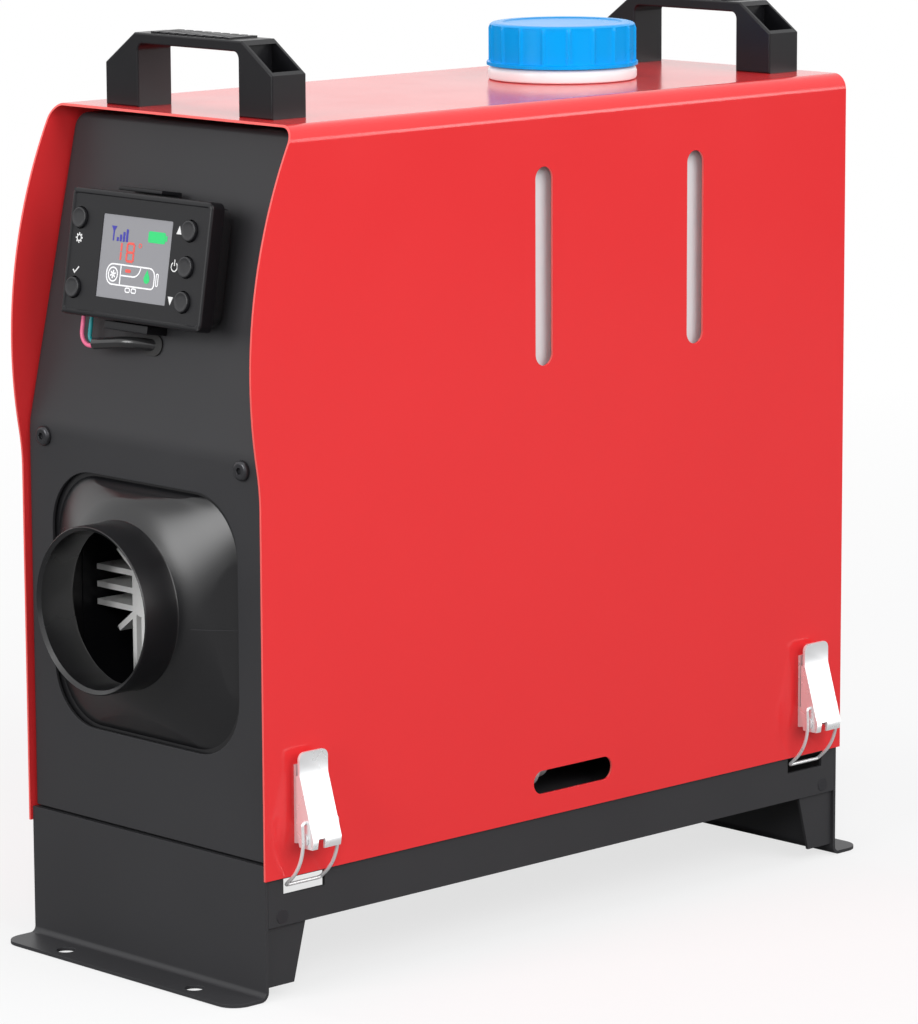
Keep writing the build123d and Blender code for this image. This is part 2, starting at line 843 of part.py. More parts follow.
# ------------------------------------------------------------------ heater unit
def shell_section(inset=0.0):
    """The heater's rounded-square section, or one set in from it."""
    return RectangleRounded(heater_width - 2 * inset, heater_height - 2 * inset,
                            heater_corner - inset)


def heater_shells():
    """The lower and upper halves of the heater's housing."""
    start = front_y + heater_rear
    length = heater_rear - heater_front
    plane = front_plane(start, heater_axis)
    tube = extrude(plane * (shell_section() - shell_section(heater_wall)), amount=length)
    half = heater_height / 2 + 1
    y_low = front_y + heater_front - 1
    below = block(-heater_width, heater_width, y_low, start + 1, heater_axis - half, heater_axis)
    lower = tube & below
    upper = tube - below
    lower -= block(-pedestal_width / 2, pedestal_width / 2, pedestal_y - pedestal_length / 2,
                   pedestal_y + pedestal_length / 2, heater_axis - half, heater_axis - half / 2)
    lower -= rod_z(line_radius, fuel_inlet_x, fuel_inlet_y(), heater_axis - half,
                   heater_axis - half / 2)
    lead_x, lead_y = lead_drop()
    upper -= rod_z(lead_radius, lead_x, lead_y, heater_axis, heater_axis + half)
    return lower, upper


def fuel_inlet_y():
    """Where the fuel line enters the heater, behind both its pedestal and the pump."""
    behind_pump = front_y + pump_place + pump_length / 2 + nozzle_length + line_bend
    return max(pedestal_y + pedestal_length / 2 + 3 * line_radius, behind_pump)


def outlet_adaptor():
    """The moulded bell: a rim behind the panel, a square mouth and a round outlet collar."""
    back = front_y + heater_front
    mouth = panel_y + steel_sheet + bell_rim_gap
    collar_back = front_y - collar_reach + collar_length
    bell = mouth - collar_back
    end = 2 * (collar_radius + bell_ring)

    def bell_solid(inset):
        sections = (
            (0.0, heater_width, heater_height, heater_corner),
            (bell_shoulder, heater_width - bell_draw, heater_height - bell_draw,
             heater_corner + bell_draw / 2),
            (1.0, end, end, collar_radius + bell_ring - bell_flat))
        faces = []
        for share, width, height, radius in sections:
            outline = RectangleRounded(width - 2 * inset, height - 2 * inset, radius - inset)
            z = heater_axis + share * (collar_height - heater_axis)
            faces.append(front_plane(mouth - share * (bell - inset), z) * outline)
        straight = extrude(front_plane(back, heater_axis) * shell_section(inset),
                           amount=back - mouth)
        return loft(faces) + straight

    rim = extrude(front_plane(mouth + bell_rim_sheet, heater_axis)
                  * shell_section(-bell_rim_reach), amount=bell_rim_sheet)
    outer = bell_solid(0.0) + rim
    inner = bell_solid(heater_wall)
    tip = front_y - collar_reach
    collar = rod_y(collar_radius, tip, collar_back, 0, collar_height)
    bore = rod_y(collar_radius - collar_wall, tip - 1, collar_back + 2 * heater_wall, 0,
                 collar_height)
    return (outer - inner) + collar - bore


def fin_pattern():
    """All the fins seen from the front, about the middle of the exchanger's nose."""
    side_reach = heater_width / 2 - heater_wall - fin_gap
    pattern = Rectangle(nose_width - 2 * fin_root, nose_height - 2 * fin_root)
    for index in range(side_fin_count):
        z = (index - (side_fin_count - 1) / 2) * side_fin_pitch
        pattern += Pos(0, z) * Rectangle(2 * side_reach, fin_thickness)
    top = shell_inside_height - fin_gap - nose_rise
    bottom = shell_inside_height - fin_gap + nose_rise
    for index in range(upright_fin_count):
        x = (index - (upright_fin_count - 1) / 2) * upright_fin_pitch
        pattern += Pos(x, (top - bottom) / 2) * Rectangle(fin_thickness, top + bottom)
    corner_x = nose_width / 2 - fin_root
    corner_z = nose_height / 2 - fin_root
    for turn, x, z in ((corner_fin_angle, corner_x, corner_z),
                       (180 - corner_fin_angle, -corner_x, corner_z),
                       (180 + corner_fin_angle, -corner_x, -corner_z),
                       (-corner_fin_angle, corner_x, -corner_z)):
        blade = Pos(corner_fin_length / 2, 0) * Rectangle(corner_fin_length, fin_thickness)
        pattern += Pos(x, z) * Rot(0, 0, turn) * blade
    return pattern


def heat_exchanger():
    """The cast exchanger: a flat nose, a square core, fins all round, and a pedestal."""
    half = core_width / 2
    start = front_y + exchanger_front + exchanger_length
    nose_back = front_y + exchanger_front + nose_length
    middle = heater_axis + nose_rise
    body = extrude(front_plane(start, middle) * fin_pattern(), amount=exchanger_length)
    nose = RectangleRounded(nose_width, nose_height, nose_corner)
    body += extrude(front_plane(nose_back, middle) * nose, amount=nose_length)
    core = RectangleRounded(core_width, core_width, core_corner)
    body += extrude(front_plane(start, heater_axis) * core, amount=exchanger_length - nose_length)
    pedestal = block(-pedestal_width / 2, pedestal_width / 2,
                     pedestal_y - pedestal_length / 2, pedestal_y + pedestal_length / 2,
                     tray_top + gasket_thickness, heater_axis - half + 1)
    body += fillet(pedestal.edges().filter_by(Axis.Z), pedestal_corner)
    body -= rod_y(core_bore, nose_back + core_width / 2 - core_bore, start + 1, 0, heater_axis)
    for x, radius in stub_sizes():
        body -= rod_z(radius, x, pedestal_y, tray_top - 1, heater_axis - half - pedestal_roof)
    for x, y in stud_places():
        body -= rod_z(stud_radius, x, y, tray_top - 1, tray_top + stud_rise)
    body -= rod_z(plug_radius, 0, plug_y(), heater_axis, heater_axis + half + 1)
    body -= rod_z(plug_nut, 0, plug_y(), heater_axis + half, heater_axis + heater_height)
    return body


def stub_sizes():
    """The x and root radius of the exhaust stub and of the combustion air stub."""
    return ((-stub_spacing / 2, exhaust_radius + stub_step),
            (stub_spacing / 2, intake_radius + stub_step))


def stud_places():
    """The four studs that hold the heater to the tray."""
    return [(sx * stud_spacing_x / 2, pedestal_y + sy * stud_spacing_y / 2)
            for sx in (-1, 1) for sy in (-1, 1)]


def heater_gasket():
    """The gasket between the pedestal and the tray."""
    gasket = block(-pedestal_width / 2, pedestal_width / 2,
                   pedestal_y - pedestal_length / 2, pedestal_y + pedestal_length / 2,
                   tray_top, tray_top + gasket_thickness)
    gasket = fillet(gasket.edges().filter_by(Axis.Z), pedestal_corner)
    for x, radius in stub_sizes():
        gasket -= rod_z(radius, x, pedestal_y, tray_top - 1, tray_top + 3)
    for x, y in stud_places():
        gasket -= rod_z(stud_radius, x, y, tray_top - 1, tray_top + 3)
    return gasket


def heater_nuts():
    """Four studs with their nuts under the tray."""
    under = tray_top - steel_sheet
    nuts = []
    for x, y in stud_places():
        nut = extrude(Pos(x, y, under - nut_height) * RegularPolygon(nut_width / sqrt(3), 6),
                      amount=nut_height)
        nuts.append(nut + rod_z(stud_radius, x, y, under - stud_drop, tray_top + stud_rise))
    return nuts


def stub(x, radius):
    """A pipe stub under the tray: a grip for its pipe, and a thicker root in the pedestal."""
    top = heater_axis - core_width / 2 - pedestal_roof
    shoulder = stub_bottom + stub_grip
    grip_radius = radius - stub_step
    pipe = rod_z(radius, x, pedestal_y, shoulder, top)
    pipe += rod_z(grip_radius, x, pedestal_y, stub_bottom, shoulder)
    return pipe - rod_z(grip_radius - stub_wall, x, pedestal_y, stub_bottom - 1, top + 1)


def combustion_chamber():
    """The burner tube with its row of air holes and a flange at the exchanger's mouth."""
    mouth = front_y + exchanger_front + exchanger_length
    tube = rod_y(chamber_radius, mouth - chamber_length, mouth, 0, heater_axis)
    tube += rod_y(core_bore + 1, mouth, mouth + chamber_wall, 0, heater_axis)
    tube -= rod_y(chamber_radius - chamber_wall, mouth - chamber_length - 1,
                  mouth - 2 * chamber_wall, 0, heater_axis)
    tube -= rod_y(chamber_radius / 2, mouth - 3 * chamber_wall, mouth + 5, 0, heater_axis)
    hole = Pos(0, mouth - chamber_length / 3, heater_axis)
    for index in range(chamber_hole_count // 2):
        turn = index * 360 / chamber_hole_count
        tube -= hole * Rot(0, turn, 0) * Cylinder(chamber_hole_radius, 3 * chamber_radius)
    return tube


def plug_y():
    """How far along the burner tube the igniter stands."""
    return front_y + exchanger_front + exchanger_length - chamber_length / 5


def glow_plug():
    """The igniter, screwed down through the exchanger's wall towards the burner tube."""
    low = heater_axis + chamber_radius + plug_gap
    plug = rod_z(plug_radius, 0, plug_y(), low, low + plug_length)
    nut = extrude(Pos(0, plug_y(), heater_axis + core_width / 2)
                  * RegularPolygon(plug_nut - 2 * plug_gap, 6), amount=plug_nut)
    return plug + nut


def blower_motor():
    """The blower's motor on the plate that closes the combustion fan's housing."""
    y = shaft_y
    motor = rod_y(motor_radius, y, y + motor_length, 0, heater_axis)
    motor = fillet(motor.edges().filter_by(GeomType.CIRCLE).group_by(Axis.Y)[-1], motor_round)
    plate = extrude(front_plane(y, heater_axis) * shell_section(heater_wall),
                    amount=motor_flange_sheet)
    housing_front = y - motor_flange_sheet - combustion_fan_width - 2 * fan_gap
    ring = rod_y(combustion_fan_radius + fan_gap + motor_ring_wall, housing_front,
                 y - motor_flange_sheet, 0, heater_axis)
    ring -= rod_y(combustion_fan_radius + fan_gap, housing_front - 1, y, 0, heater_axis)
    motor = motor + plate + ring
    return motor - rod_y(shaft_radius + shaft_clearance, y - 30, y + motor_length + 1,
                         0, heater_axis)


def shaft_ends():
    """The front and rear ends of the rotor's shaft."""
    front = shaft_y - motor_flange_sheet - combustion_fan_width - 1.5 * fan_gap
    rear = shaft_y + motor_length + fan_gap + air_fan_width + 1
    return front, rear


def motor_shaft():
    """The steel shaft through the motor, with a fan on each end."""
    return rod_y(shaft_radius, *shaft_ends(), 0, heater_axis)


def combustion_fan():
    """The small pressed wheel with straight blades that feeds the burner."""
    back = shaft_y - motor_flange_sheet - fan_gap
    wheel = rod_y(combustion_fan_radius, back - combustion_fan_sheet, back, 0, heater_axis)
    wheel += rod_y(3 * shaft_radius, back - combustion_fan_width, back, 0, heater_axis)
    span = combustion_fan_radius - 4 * shaft_radius
    blade = Pos(4 * shaft_radius + span / 2, 0, 0) * Box(
        span, combustion_fan_width - combustion_fan_sheet, blade_thickness)
    place = Pos(0, back - (combustion_fan_width + combustion_fan_sheet) / 2, heater_axis)
    for index in range(combustion_blades):
        wheel += place * Rot(0, index * 360 / combustion_blades, 0) * blade
    return wheel - rod_y(shaft_radius, back - 20, back + 1, 0, heater_axis)


def air_fan():
    """The axial fan with twisted blades that moves the heated air."""
    front = shaft_y + motor_length + fan_gap
    middle = front + air_fan_width / 2
    fan = rod_y(air_fan_hub, front, front + air_fan_width, 0, heater_axis)
    fan = fillet(fan.edges().filter_by(GeomType.CIRCLE).group_by(Axis.Y)[-1], air_fan_round)
    root = air_fan_hub - 2
    root_slice = Plane(origin=(root, 0, 0), x_dir=(0, 1, 0), z_dir=(1, 0, 0)) * Rot(
        0, 0, blade_pitch) * Rectangle(air_fan_width, blade_thickness)
    tip_slice = Plane(origin=(air_fan_radius - 1, 0, 0), x_dir=(0, 1, 0), z_dir=(1, 0, 0)) * Rot(
        0, 0, blade_pitch * 1.5) * Rectangle(air_fan_width, blade_thickness)
    blade = loft([root_slice, tip_slice])
    place = Pos(0, middle, heater_axis)
    for index in range(air_blades):
        fan += place * Rot(0, index * 360 / air_blades, 0) * blade
    return fan - rod_y(shaft_radius, front - 1, shaft_ends()[1], 0, heater_axis)


def control_board():
    """The circuit board on its standoffs under the upper shell."""
    top = heater_axis + shell_inside_height
    z = top - board_drop
    y_low = shaft_y + 2
    board = block(-board_width / 2, board_width / 2, y_low, y_low + board_length,
                  z, z + board_thickness)
    for x in (-board_width / 4, board_width / 4):
        for y in (y_low + board_post_inset, y_low + board_length - board_post_inset):
            board += rod_z(board_post_radius, x, y, z, top)
    width, length, height = chip_size
    board += block(-width / 2, width / 2, y_low + chip_place, y_low + chip_place + length,
                   z - height, z)
    width, length, height = socket_size
    x_low = socket_inset - board_width / 2
    board += block(x_low, x_low + width, y_low + socket_place, y_low + socket_place + length,
                   z - height, z)
    return board


def intake_guard():
    """The round grille of rings and spokes behind the heater's air intake."""
    back = front_y + heater_rear
    front_face = front_plane(back + guard_lip, heater_axis)
    mouth = shell_section() - Circle(intake_hole_radius - 2 * hole_clearance - guard_ring_width)
    guard = extrude(front_face * mouth, amount=guard_lip)
    reach = rear_panel_y - back
    outer = intake_hole_radius - 2 * hole_clearance
    guard += rod_y(outer, back, back + reach, 0, heater_axis) - rod_y(
        outer - guard_ring_width, back - 1, back + reach + 1, 0, heater_axis)
    grid = Circle(guard_hub)
    for index in range(guard_ring_count):
        radius = guard_hub + (index + 1) * guard_ring_pitch
        grid += Circle(radius + guard_ring_width / 2) - Circle(radius - guard_ring_width / 2)
    for index in range(guard_spokes // 2):
        grid += Rot(0, 0, index * 360 / guard_spokes) * Rectangle(2 * outer - 1, guard_ring_width)
    guard += extrude(front_plane(back + reach, heater_axis) * grid, amount=guard_thickness)
    return guard


# ------------------------------------------------------------------ fuel run
def pump_axis():
    """The height of the fuel run over the tray."""
    return tray_top + pump_lift + pump_radius


def fuel_pump():
    """The dosing pump: a can between two hose nozzles."""
    y_low = front_y + pump_place - pump_length / 2
    y_high = y_low + pump_length
    z = pump_axis()
    step = pump_length / 6
    pump = rod_y(pump_radius, y_low + step, y_high - step, hose_x, z)
    pump += rod_y(pump_radius * 0.7, y_low, y_high, hose_x, z)
    return pump + rod_y(spigot_radius, y_low - nozzle_length, y_high + nozzle_length, hose_x, z)


def pump_bracket():
    """The rubber clamp that holds the pump on the tray."""
    z = pump_axis()
    y_low = front_y + pump_place - clamp_width / 2
    y_high = y_low + clamp_width
    outer = pump_radius + clamp_wall
    bracket = block(hose_x - outer, hose_x + outer, y_low, y_high, tray_top, tray_top + clamp_wall)
    bracket += block(hose_x - clamp_foot, hose_x + clamp_foot, y_low, y_high, tray_top, z)
    above = block(hose_x - outer, hose_x + outer, y_low, y_high, tray_top, z + outer)
    bracket += rod_y(outer, y_low, y_high, hose_x, z) & above
    return bracket - rod_y(pump_radius, y_low - 1, y_high + 1, hose_x, z)


def fuel_outlet():
    """The fitting in the tank's floor, with a spigot for the hose."""
    y = front_y + hose_place
    under = shelf_height - shelf_sheet
    body = rod_z(outlet_body_radius, hose_x, y, under, shelf_height)
    body += rod_z(outlet_flange_radius, hose_x, y, under - outlet_flange_height, under)
    return body + rod_z(spigot_radius, hose_x, y, under - outlet_reach,
                        shelf_height + 2 * tank_wall)


def filter_ends():
    """The y of the fuel filter's two ends."""
    middle = front_y + filter_place
    return middle - filter_length / 2, middle + filter_length / 2


def fuel_hose():
    """The hose from the tank down to the filter, and the one from the filter to the pump."""
    y = front_y + hose_place
    z = pump_axis()
    top = shelf_height - shelf_sheet - outlet_flange_height
    filter_front, filter_rear = filter_ends()
    down = tube_along([(hose_x, y, top), (hose_x, y, z), (hose_x, filter_front, z)],
                      [hose_bend], hose_radius, spigot_radius)
    pump_front = front_y + pump_place - pump_length / 2
    across = rod_y(hose_radius, filter_rear, pump_front, hose_x, z)
    across -= rod_y(spigot_radius, filter_rear - 1, pump_front + 1, hose_x, z)
    return [down, across]


def fuel_filter():
    """The small filter between the two hoses."""
    z = pump_axis()
    low, high = filter_ends()
    body = rod_y(filter_radius, low, high, hose_x, z)
    body = fillet(body.edges().filter_by(GeomType.CIRCLE), filter_radius / 3)
    return body + rod_y(spigot_radius, low - nozzle_length, high + nozzle_length, hose_x, z)


def fuel_line():
    """The stiff line from the pump across and up into the heater."""
    z = pump_axis()
    pump_rear = front_y + pump_place + pump_length / 2
    y = fuel_inlet_y()
    top = heater_axis - shell_inside_height
    last_bend = min(line_bend, line_bend_share * (top - z))
    return tube_along([(hose_x, pump_rear, z), (hose_x, y, z), (fuel_inlet_x, y, z),
                       (fuel_inlet_x, y, top)], [line_bend, last_bend],
                      line_radius, spigot_radius)


# ------------------------------------------------------------------ controller
def local_slab(width, height, low, high, radius):
    """A rounded slab in the controller's frame, between two distances along local z."""
    return extrude(Pos(0, 0, low) * RectangleRounded(width, height, radius), amount=high - low)


def on_controller(x, y, out):
    """A point given in the controller's frame, in the part's frame."""
    point = controller_frame().from_local_coords(Vector(x, y, out))
    return (point.X, point.Y, point.Z)


def place_controller(shape):
    """Move a shape from the controller's frame to its place before the panel."""
    return controller_frame().location * shape


def controller_bracket():
    """The wedge on the panel that tips the controller up, with a clip above and below."""
    wedge_back = -controller_height * tan(radians(controller_tilt))
    bracket = local_slab(bracket_width, bracket_height, wedge_back, bracket_sheet, 2)
    clip_top = controller_depth - bezel_depth + clip_lip
    edge = controller_height / 2
    for side, reach in ((1, upper_clip_reach), (-1, lower_clip_reach)):
        low, high = sorted((side * (bracket_height / 2 - 1), side * (edge + reach)))
        bracket += block(clip_x - clip_width / 2, clip_x + clip_width / 2, low, high,
                         0, bracket_sheet)
        low, high = sorted((side * (edge + clip_gap), side * (edge + reach)))
        bracket += block(clip_x - clip_width / 2, clip_x + clip_width / 2, low, high,
                         0, clip_top)
    before_panel = block(-controller_width, controller_width, -controller_height,
                         controller_height, 0, 2 * controller_depth)
    return place_controller(bracket) & place_on_panel(before_panel)


def controller_back():
    """The controller's rear housing."""
    width = controller_width - 2 * back_inset
    height = controller_height - 2 * back_inset
    back = local_slab(width, height, bracket_sheet, controller_depth - bezel_depth,
                      controller_round)
    bottom_edges = back.edges().group_by(Axis.Z)[0]
    back = chamfer(bottom_edges, back_chamfer)
    return place_controller(back)


def button_places():
    """Each button's name and its place on the controller's face."""
    return {
        "button_up": (right_buttons_x, upper_button_y),
        "button_power": (right_buttons_x, middle_button_y),
        "button_down": (right_buttons_x, lower_button_y),
        "button_settings": (left_buttons_x, upper_button_y),
        "button_ok": (left_buttons_x, lower_button_y)}


def controller_bezel():
    """The front shell with a window for the screen and a round hole for each button."""
    low = controller_depth - bezel_depth
    shell = local_slab(controller_width, controller_height, low, controller_depth,
                       controller_round)
    shell = fillet(shell.edges().group_by(Axis.Z)[-1], bezel_round)
    shell -= local_slab(controller_width - 2 * bezel_wall, controller_height - 2 * bezel_wall,
                        low - 1, controller_depth - bezel_wall, controller_round - bezel_wall / 2)
    shell -= Pos(screen_x, screen_y, controller_depth) * Box(screen_width, screen_height,
                                                             3 * bezel_wall)
    for x, y in button_places().values():
        shell -= Pos(x, y, controller_depth) * Cylinder(button_radius + button_gap, 3 * bezel_wall)
    return place_controller(shell)


def display_window():
    """The screen in its window, on the module behind it."""
    low = controller_depth - bezel_depth
    wall_back = controller_depth - bezel_wall
    face = controller_depth - screen_recess
    pane = Pos(screen_x, screen_y, (face + wall_back) / 2 - 0.5) * Box(
        screen_width, screen_height, face - wall_back + 1)
    module = Pos(screen_x, screen_y, (low + wall_back) / 2) * Box(
        screen_width + 2 * screen_lip, screen_height + 2 * screen_lip, wall_back - low)
    return place_controller(pane + module)


def button(x, y):
    """A round push button with a flange behind the bezel."""
    wall_back = controller_depth - bezel_wall
    flange_top = wall_back - button_rest_gap
    stem = Pos(x, y, flange_top - button_flange_height) * Cylinder(
        button_radius, controller_depth + button_proud - flange_top + button_flange_height,
        align=(Align.CENTER, Align.CENTER, Align.MIN))
    stem = fillet(stem.edges().filter_by(GeomType.CIRCLE).group_by(Axis.Z)[-1], button_round)
    flange = Pos(x, y, flange_top - button_flange_height) * Cylinder(
        button_radius + button_flange, button_flange_height,
        align=(Align.CENTER, Align.CENTER, Align.MIN))
    return place_controller(stem + flange)


def lead_corner():
    """Where the lead's slanting run through the panel turns downwards, behind the panel."""
    run = lead_drop_depth / tan(radians(lead_slant))
    return on_panel(lead_hole_x + run, lead_hole_y, -lead_drop_depth)


def lead_drop():
    """The x and y at which the lead hangs down to the heater."""
    x, y, z = lead_corner()
    return x, y


def lead_run():
    """The lead's first run, in the panel's frame: its start, its end and its direction."""
    start = Vector(lead_start_x, lead_hole_y - lead_sag, lead_lift)
    dip = Vector(lead_hole_x - lead_lift / tan(radians(lead_slant)), lead_hole_y, lead_lift)
    return start, dip, (dip - start).normalized()


def controller_lead():
    """The sheathed lead: under the controller, slanting through the panel, down to the heater."""
    start, dip, along = lead_run()
    x, y = lead_drop()
    return tube_along([on_panel(*start), on_panel(*dip), lead_corner(),
                       (x, y, heater_axis + shell_inside_height)],
                      [lead_bend, lead_bend], lead_radius)


def lead_wires():
    """The two thin wires that curve from the controller's underside into the sheath."""
    housing = back_inset - controller_height / 2
    start, dip, along = lead_run()
    across = Vector(-along.Y, along.X, 0)
    out = Vector(0, 0, 1)
    wires = []
    for side in (-1, 1):
        joint = start + (out - across) * side * wire_radius
        bend = wire_bend + side * wire_spread
        corner = joint - along * ((wire_run + bend) / along.X)
        local = controller_frame().to_local_coords(Vector(*on_panel(*corner)))
        wires.append(tube_along(
            [on_controller(local.X, housing, local.Z), on_panel(*corner), on_panel(*joint)],
            [bend], wire_radius))
    return wires


def cable_grommets():
    """The rubber rings in the two cable holes, for the lead and for the supply cable."""
    height = steel_sheet + 2 * grommet_lip
    wide = grommet_slot(grommet_lip, height)
    groove = grommet_slot(grommet_lip + 1, steel_sheet) - grommet_slot(0.0, height)
    front = Pos(0, 0, -steel_sheet / 2) * (wide - groove)
    radius = lead_radius + grommet_wall
    ring = Cylinder(radius + grommet_lip, height)
    ring -= Cylinder(radius + grommet_lip + 1, steel_sheet) - Cylinder(radius, steel_sheet)
    ring -= Cylinder(lead_radius, height + 1)
    rear = Pos(supply_hole_x, rear_panel_y - steel_sheet / 2, supply_hole_z) * Rot(90, 0, 0)
    return [place_on_panel(front) - controller_lead(), rear * ring]


# ------------------------------------------------------------------ latches
def latch_frame(y):
    """A YZ-like outline frame for a latch on the +X side: (out, z) at one y."""
    return Plane(origin=(cover_outside, y, 0), x_dir=(1, 0, 0), z_dir=(0, -1, 0))


def latch_slab(face, y, low, high):
    """An (out, z) outline pushed along Y between two distances from the latch's middle."""
    return extrude(latch_frame(y + high) * face, amount=high - low)


def pin_place():
    """The bail's hinge on the lever, as (out, z)."""
    return (pivot_out + bail_lean, pivot_height + sqrt(bail_arm ** 2 - bail_lean ** 2))


def lever_outline(inset=0.0):
    """The lever seen along its hinge, or its hollow, set in from the outer face."""
    web = pivot_out + pivot_to_web - inset
    tip_out = lever_tip_gap + lever_sheet - inset
    low = lever_bottom - (5 if inset else 0)
    back = lever_tip_gap - 1 - (3 if inset else 0)
    return make_face(Polyline(
        (back, lever_kink), (tip_out, lever_kink), (web, pivot_height),
        (web - lever_web_taper, low), (pivot_out - lever_side_reach, low),
        (back, pivot_height + lever_throat_rise), close=True))


def latch_lever(y):
    """A folded lever: a channel round the pivot that runs out into a flat tip."""
    half = lever_width / 2
    lever = latch_slab(lever_outline(), y, -half, half)
    hollow = latch_slab(lever_outline(lever_sheet), y, -half + lever_sheet, half - lever_sheet)
    lever -= hollow
    tip = block(cover_outside + lever_tip_gap, cover_outside + lever_tip_gap + lever_sheet,
                y - half, y + half, lever_kink - 0.5, lever_top)
    tip = fillet(tip.edges().filter_by(Axis.X).group_by(Axis.Z)[-1], lever_tip_round)
    lever += tip
    web = pivot_out + pivot_to_web
    lever -= block(cover_outside + web - 3 * lever_sheet, cover_outside + web + 1,
                   y + lever_notch_place - lever_notch_width / 2,
                   y + lever_notch_place + lever_notch_width / 2,
                   lever_bottom - 1, lever_bottom + lever_notch_height)
    pivot_x = cover_outside + pivot_out
    lever -= rod_y(pivot_radius + hinge_clearance, y - lever_width, y + lever_width,
                   pivot_x, pivot_height)
    out, z = pin_place()
    lever -= rod_y(bail_radius + hinge_clearance, y - lever_width, y + lever_width,
                   cover_outside + out, z)
    return lever


def hook_place():
    """The middle of the bail's crossbar in the catch slot, as (x, z)."""
    return ((skirt_outside + skirt_inside) / 2, catch_slot_top - catch_clearance - bail_radius)


def latch_bail(y):
    """The wire bail from the lever's sides down into the catch slot."""
    out, z = pin_place()
    pin_x = cover_outside + out
    hook_x, hook_z = hook_place()
    half = lever_width / 2 + pin_head + 2 * latch_side_gap + bail_radius
    pin_end = lever_width / 2 - lever_sheet - latch_side_gap / 2
    elbow_x = pin_x + bail_elbow_out
    elbow_z = hook_z + bail_elbow_rise
    points = [
        (pin_x, y - pin_end, z), (pin_x, y - half, z), (elbow_x, y - half, elbow_z),
        (hook_x, y - half, hook_z), (hook_x, y + half, hook_z), (elbow_x, y + half, elbow_z),
        (pin_x, y + half, z), (pin_x, y + pin_end, z)]
    return tube_along(points, [bail_corner, bail_bend, bail_corner,
                               bail_corner, bail_bend, bail_corner], bail_radius)


def latch_plate(y):
    """The bracket riveted to the cover, with two ears and the lever's pin."""
    ear_outside = lever_width / 2 - lever_sheet - latch_side_gap
    plate = block(cover_outside, cover_outside + lever_sheet, y - ear_outside, y + ear_outside,
                  plate_bottom, plate_top)
    ear = make_hull((Pos(pivot_out, pivot_height) * Circle(2 * pivot_radius)
                     + Pos(lever_sheet / 2, pivot_height + 2) * Rectangle(lever_sheet, 9)).edges())
    plate += latch_slab(ear, y, ear_outside - lever_sheet, ear_outside)
    plate += latch_slab(ear, y, -ear_outside, -ear_outside + lever_sheet)
    pivot_x = cover_outside + pivot_out
    head_in = lever_width / 2 + latch_side_gap / 2
    plate += rod_y(pivot_radius, y - head_in - pin_head, y + head_in + pin_head,
                   pivot_x, pivot_height)
    for side in (-1, 1):
        near, far = sorted((side * head_in, side * (head_in + pin_head)))
        plate += rod_y(pivot_radius + pin_head_rim, y + near, y + far, pivot_x, pivot_height)
    for z in (latch_rivet_low, latch_rivet_low + latch_rivet_spacing):
        plate -= rod_x(latch_rivet_radius, cover_outside - 1, cover_outside + 3, y, z)
    return plate


def latch_rivet_places():
    """The rivets that hold each latch plate, at the middle of the cover's wall."""
    wall = (cover_outside + cover_inside) / 2
    return [(side * wall, y, z) for side in (-1, 1) for y in latch_places()
            for z in (latch_rivet_low, latch_rivet_low + latch_rivet_spacing)]


def latch_rivets():
    """Two rivets through each latch plate and the cover."""
    rivets = []
    for x, y, z in latch_rivet_places():
        if x > 0:
            outside = cover_outside + lever_sheet
            inside = cover_inside - latch_rivet_flare
            rivet = rod_x(latch_rivet_radius, inside, outside, y, z)
            rivet += rod_x(latch_rivet_radius + latch_rivet_rim, outside,
                           outside + latch_rivet_rise, y, z)
            rivet += rod_x(latch_rivet_radius + latch_rivet_flare, inside, cover_inside, y, z)
            rivets += both_sides(rivet)
    return rivets


def latch_sets():
    """The four levers and bails, by name: right front, right rear, left front, left rear."""
    sets = {}
    for end, y in zip(("front", "rear"), latch_places()):
        lever = latch_lever(y)
        bail = latch_bail(y)
        for side, shapes in zip(("right", "left"), zip(both_sides(lever), both_sides(bail))):
            sets[f"latch_lever_{side}_{end}"] = shapes[0]
            sets[f"latch_bail_{side}_{end}"] = shapes[1]
    return sets


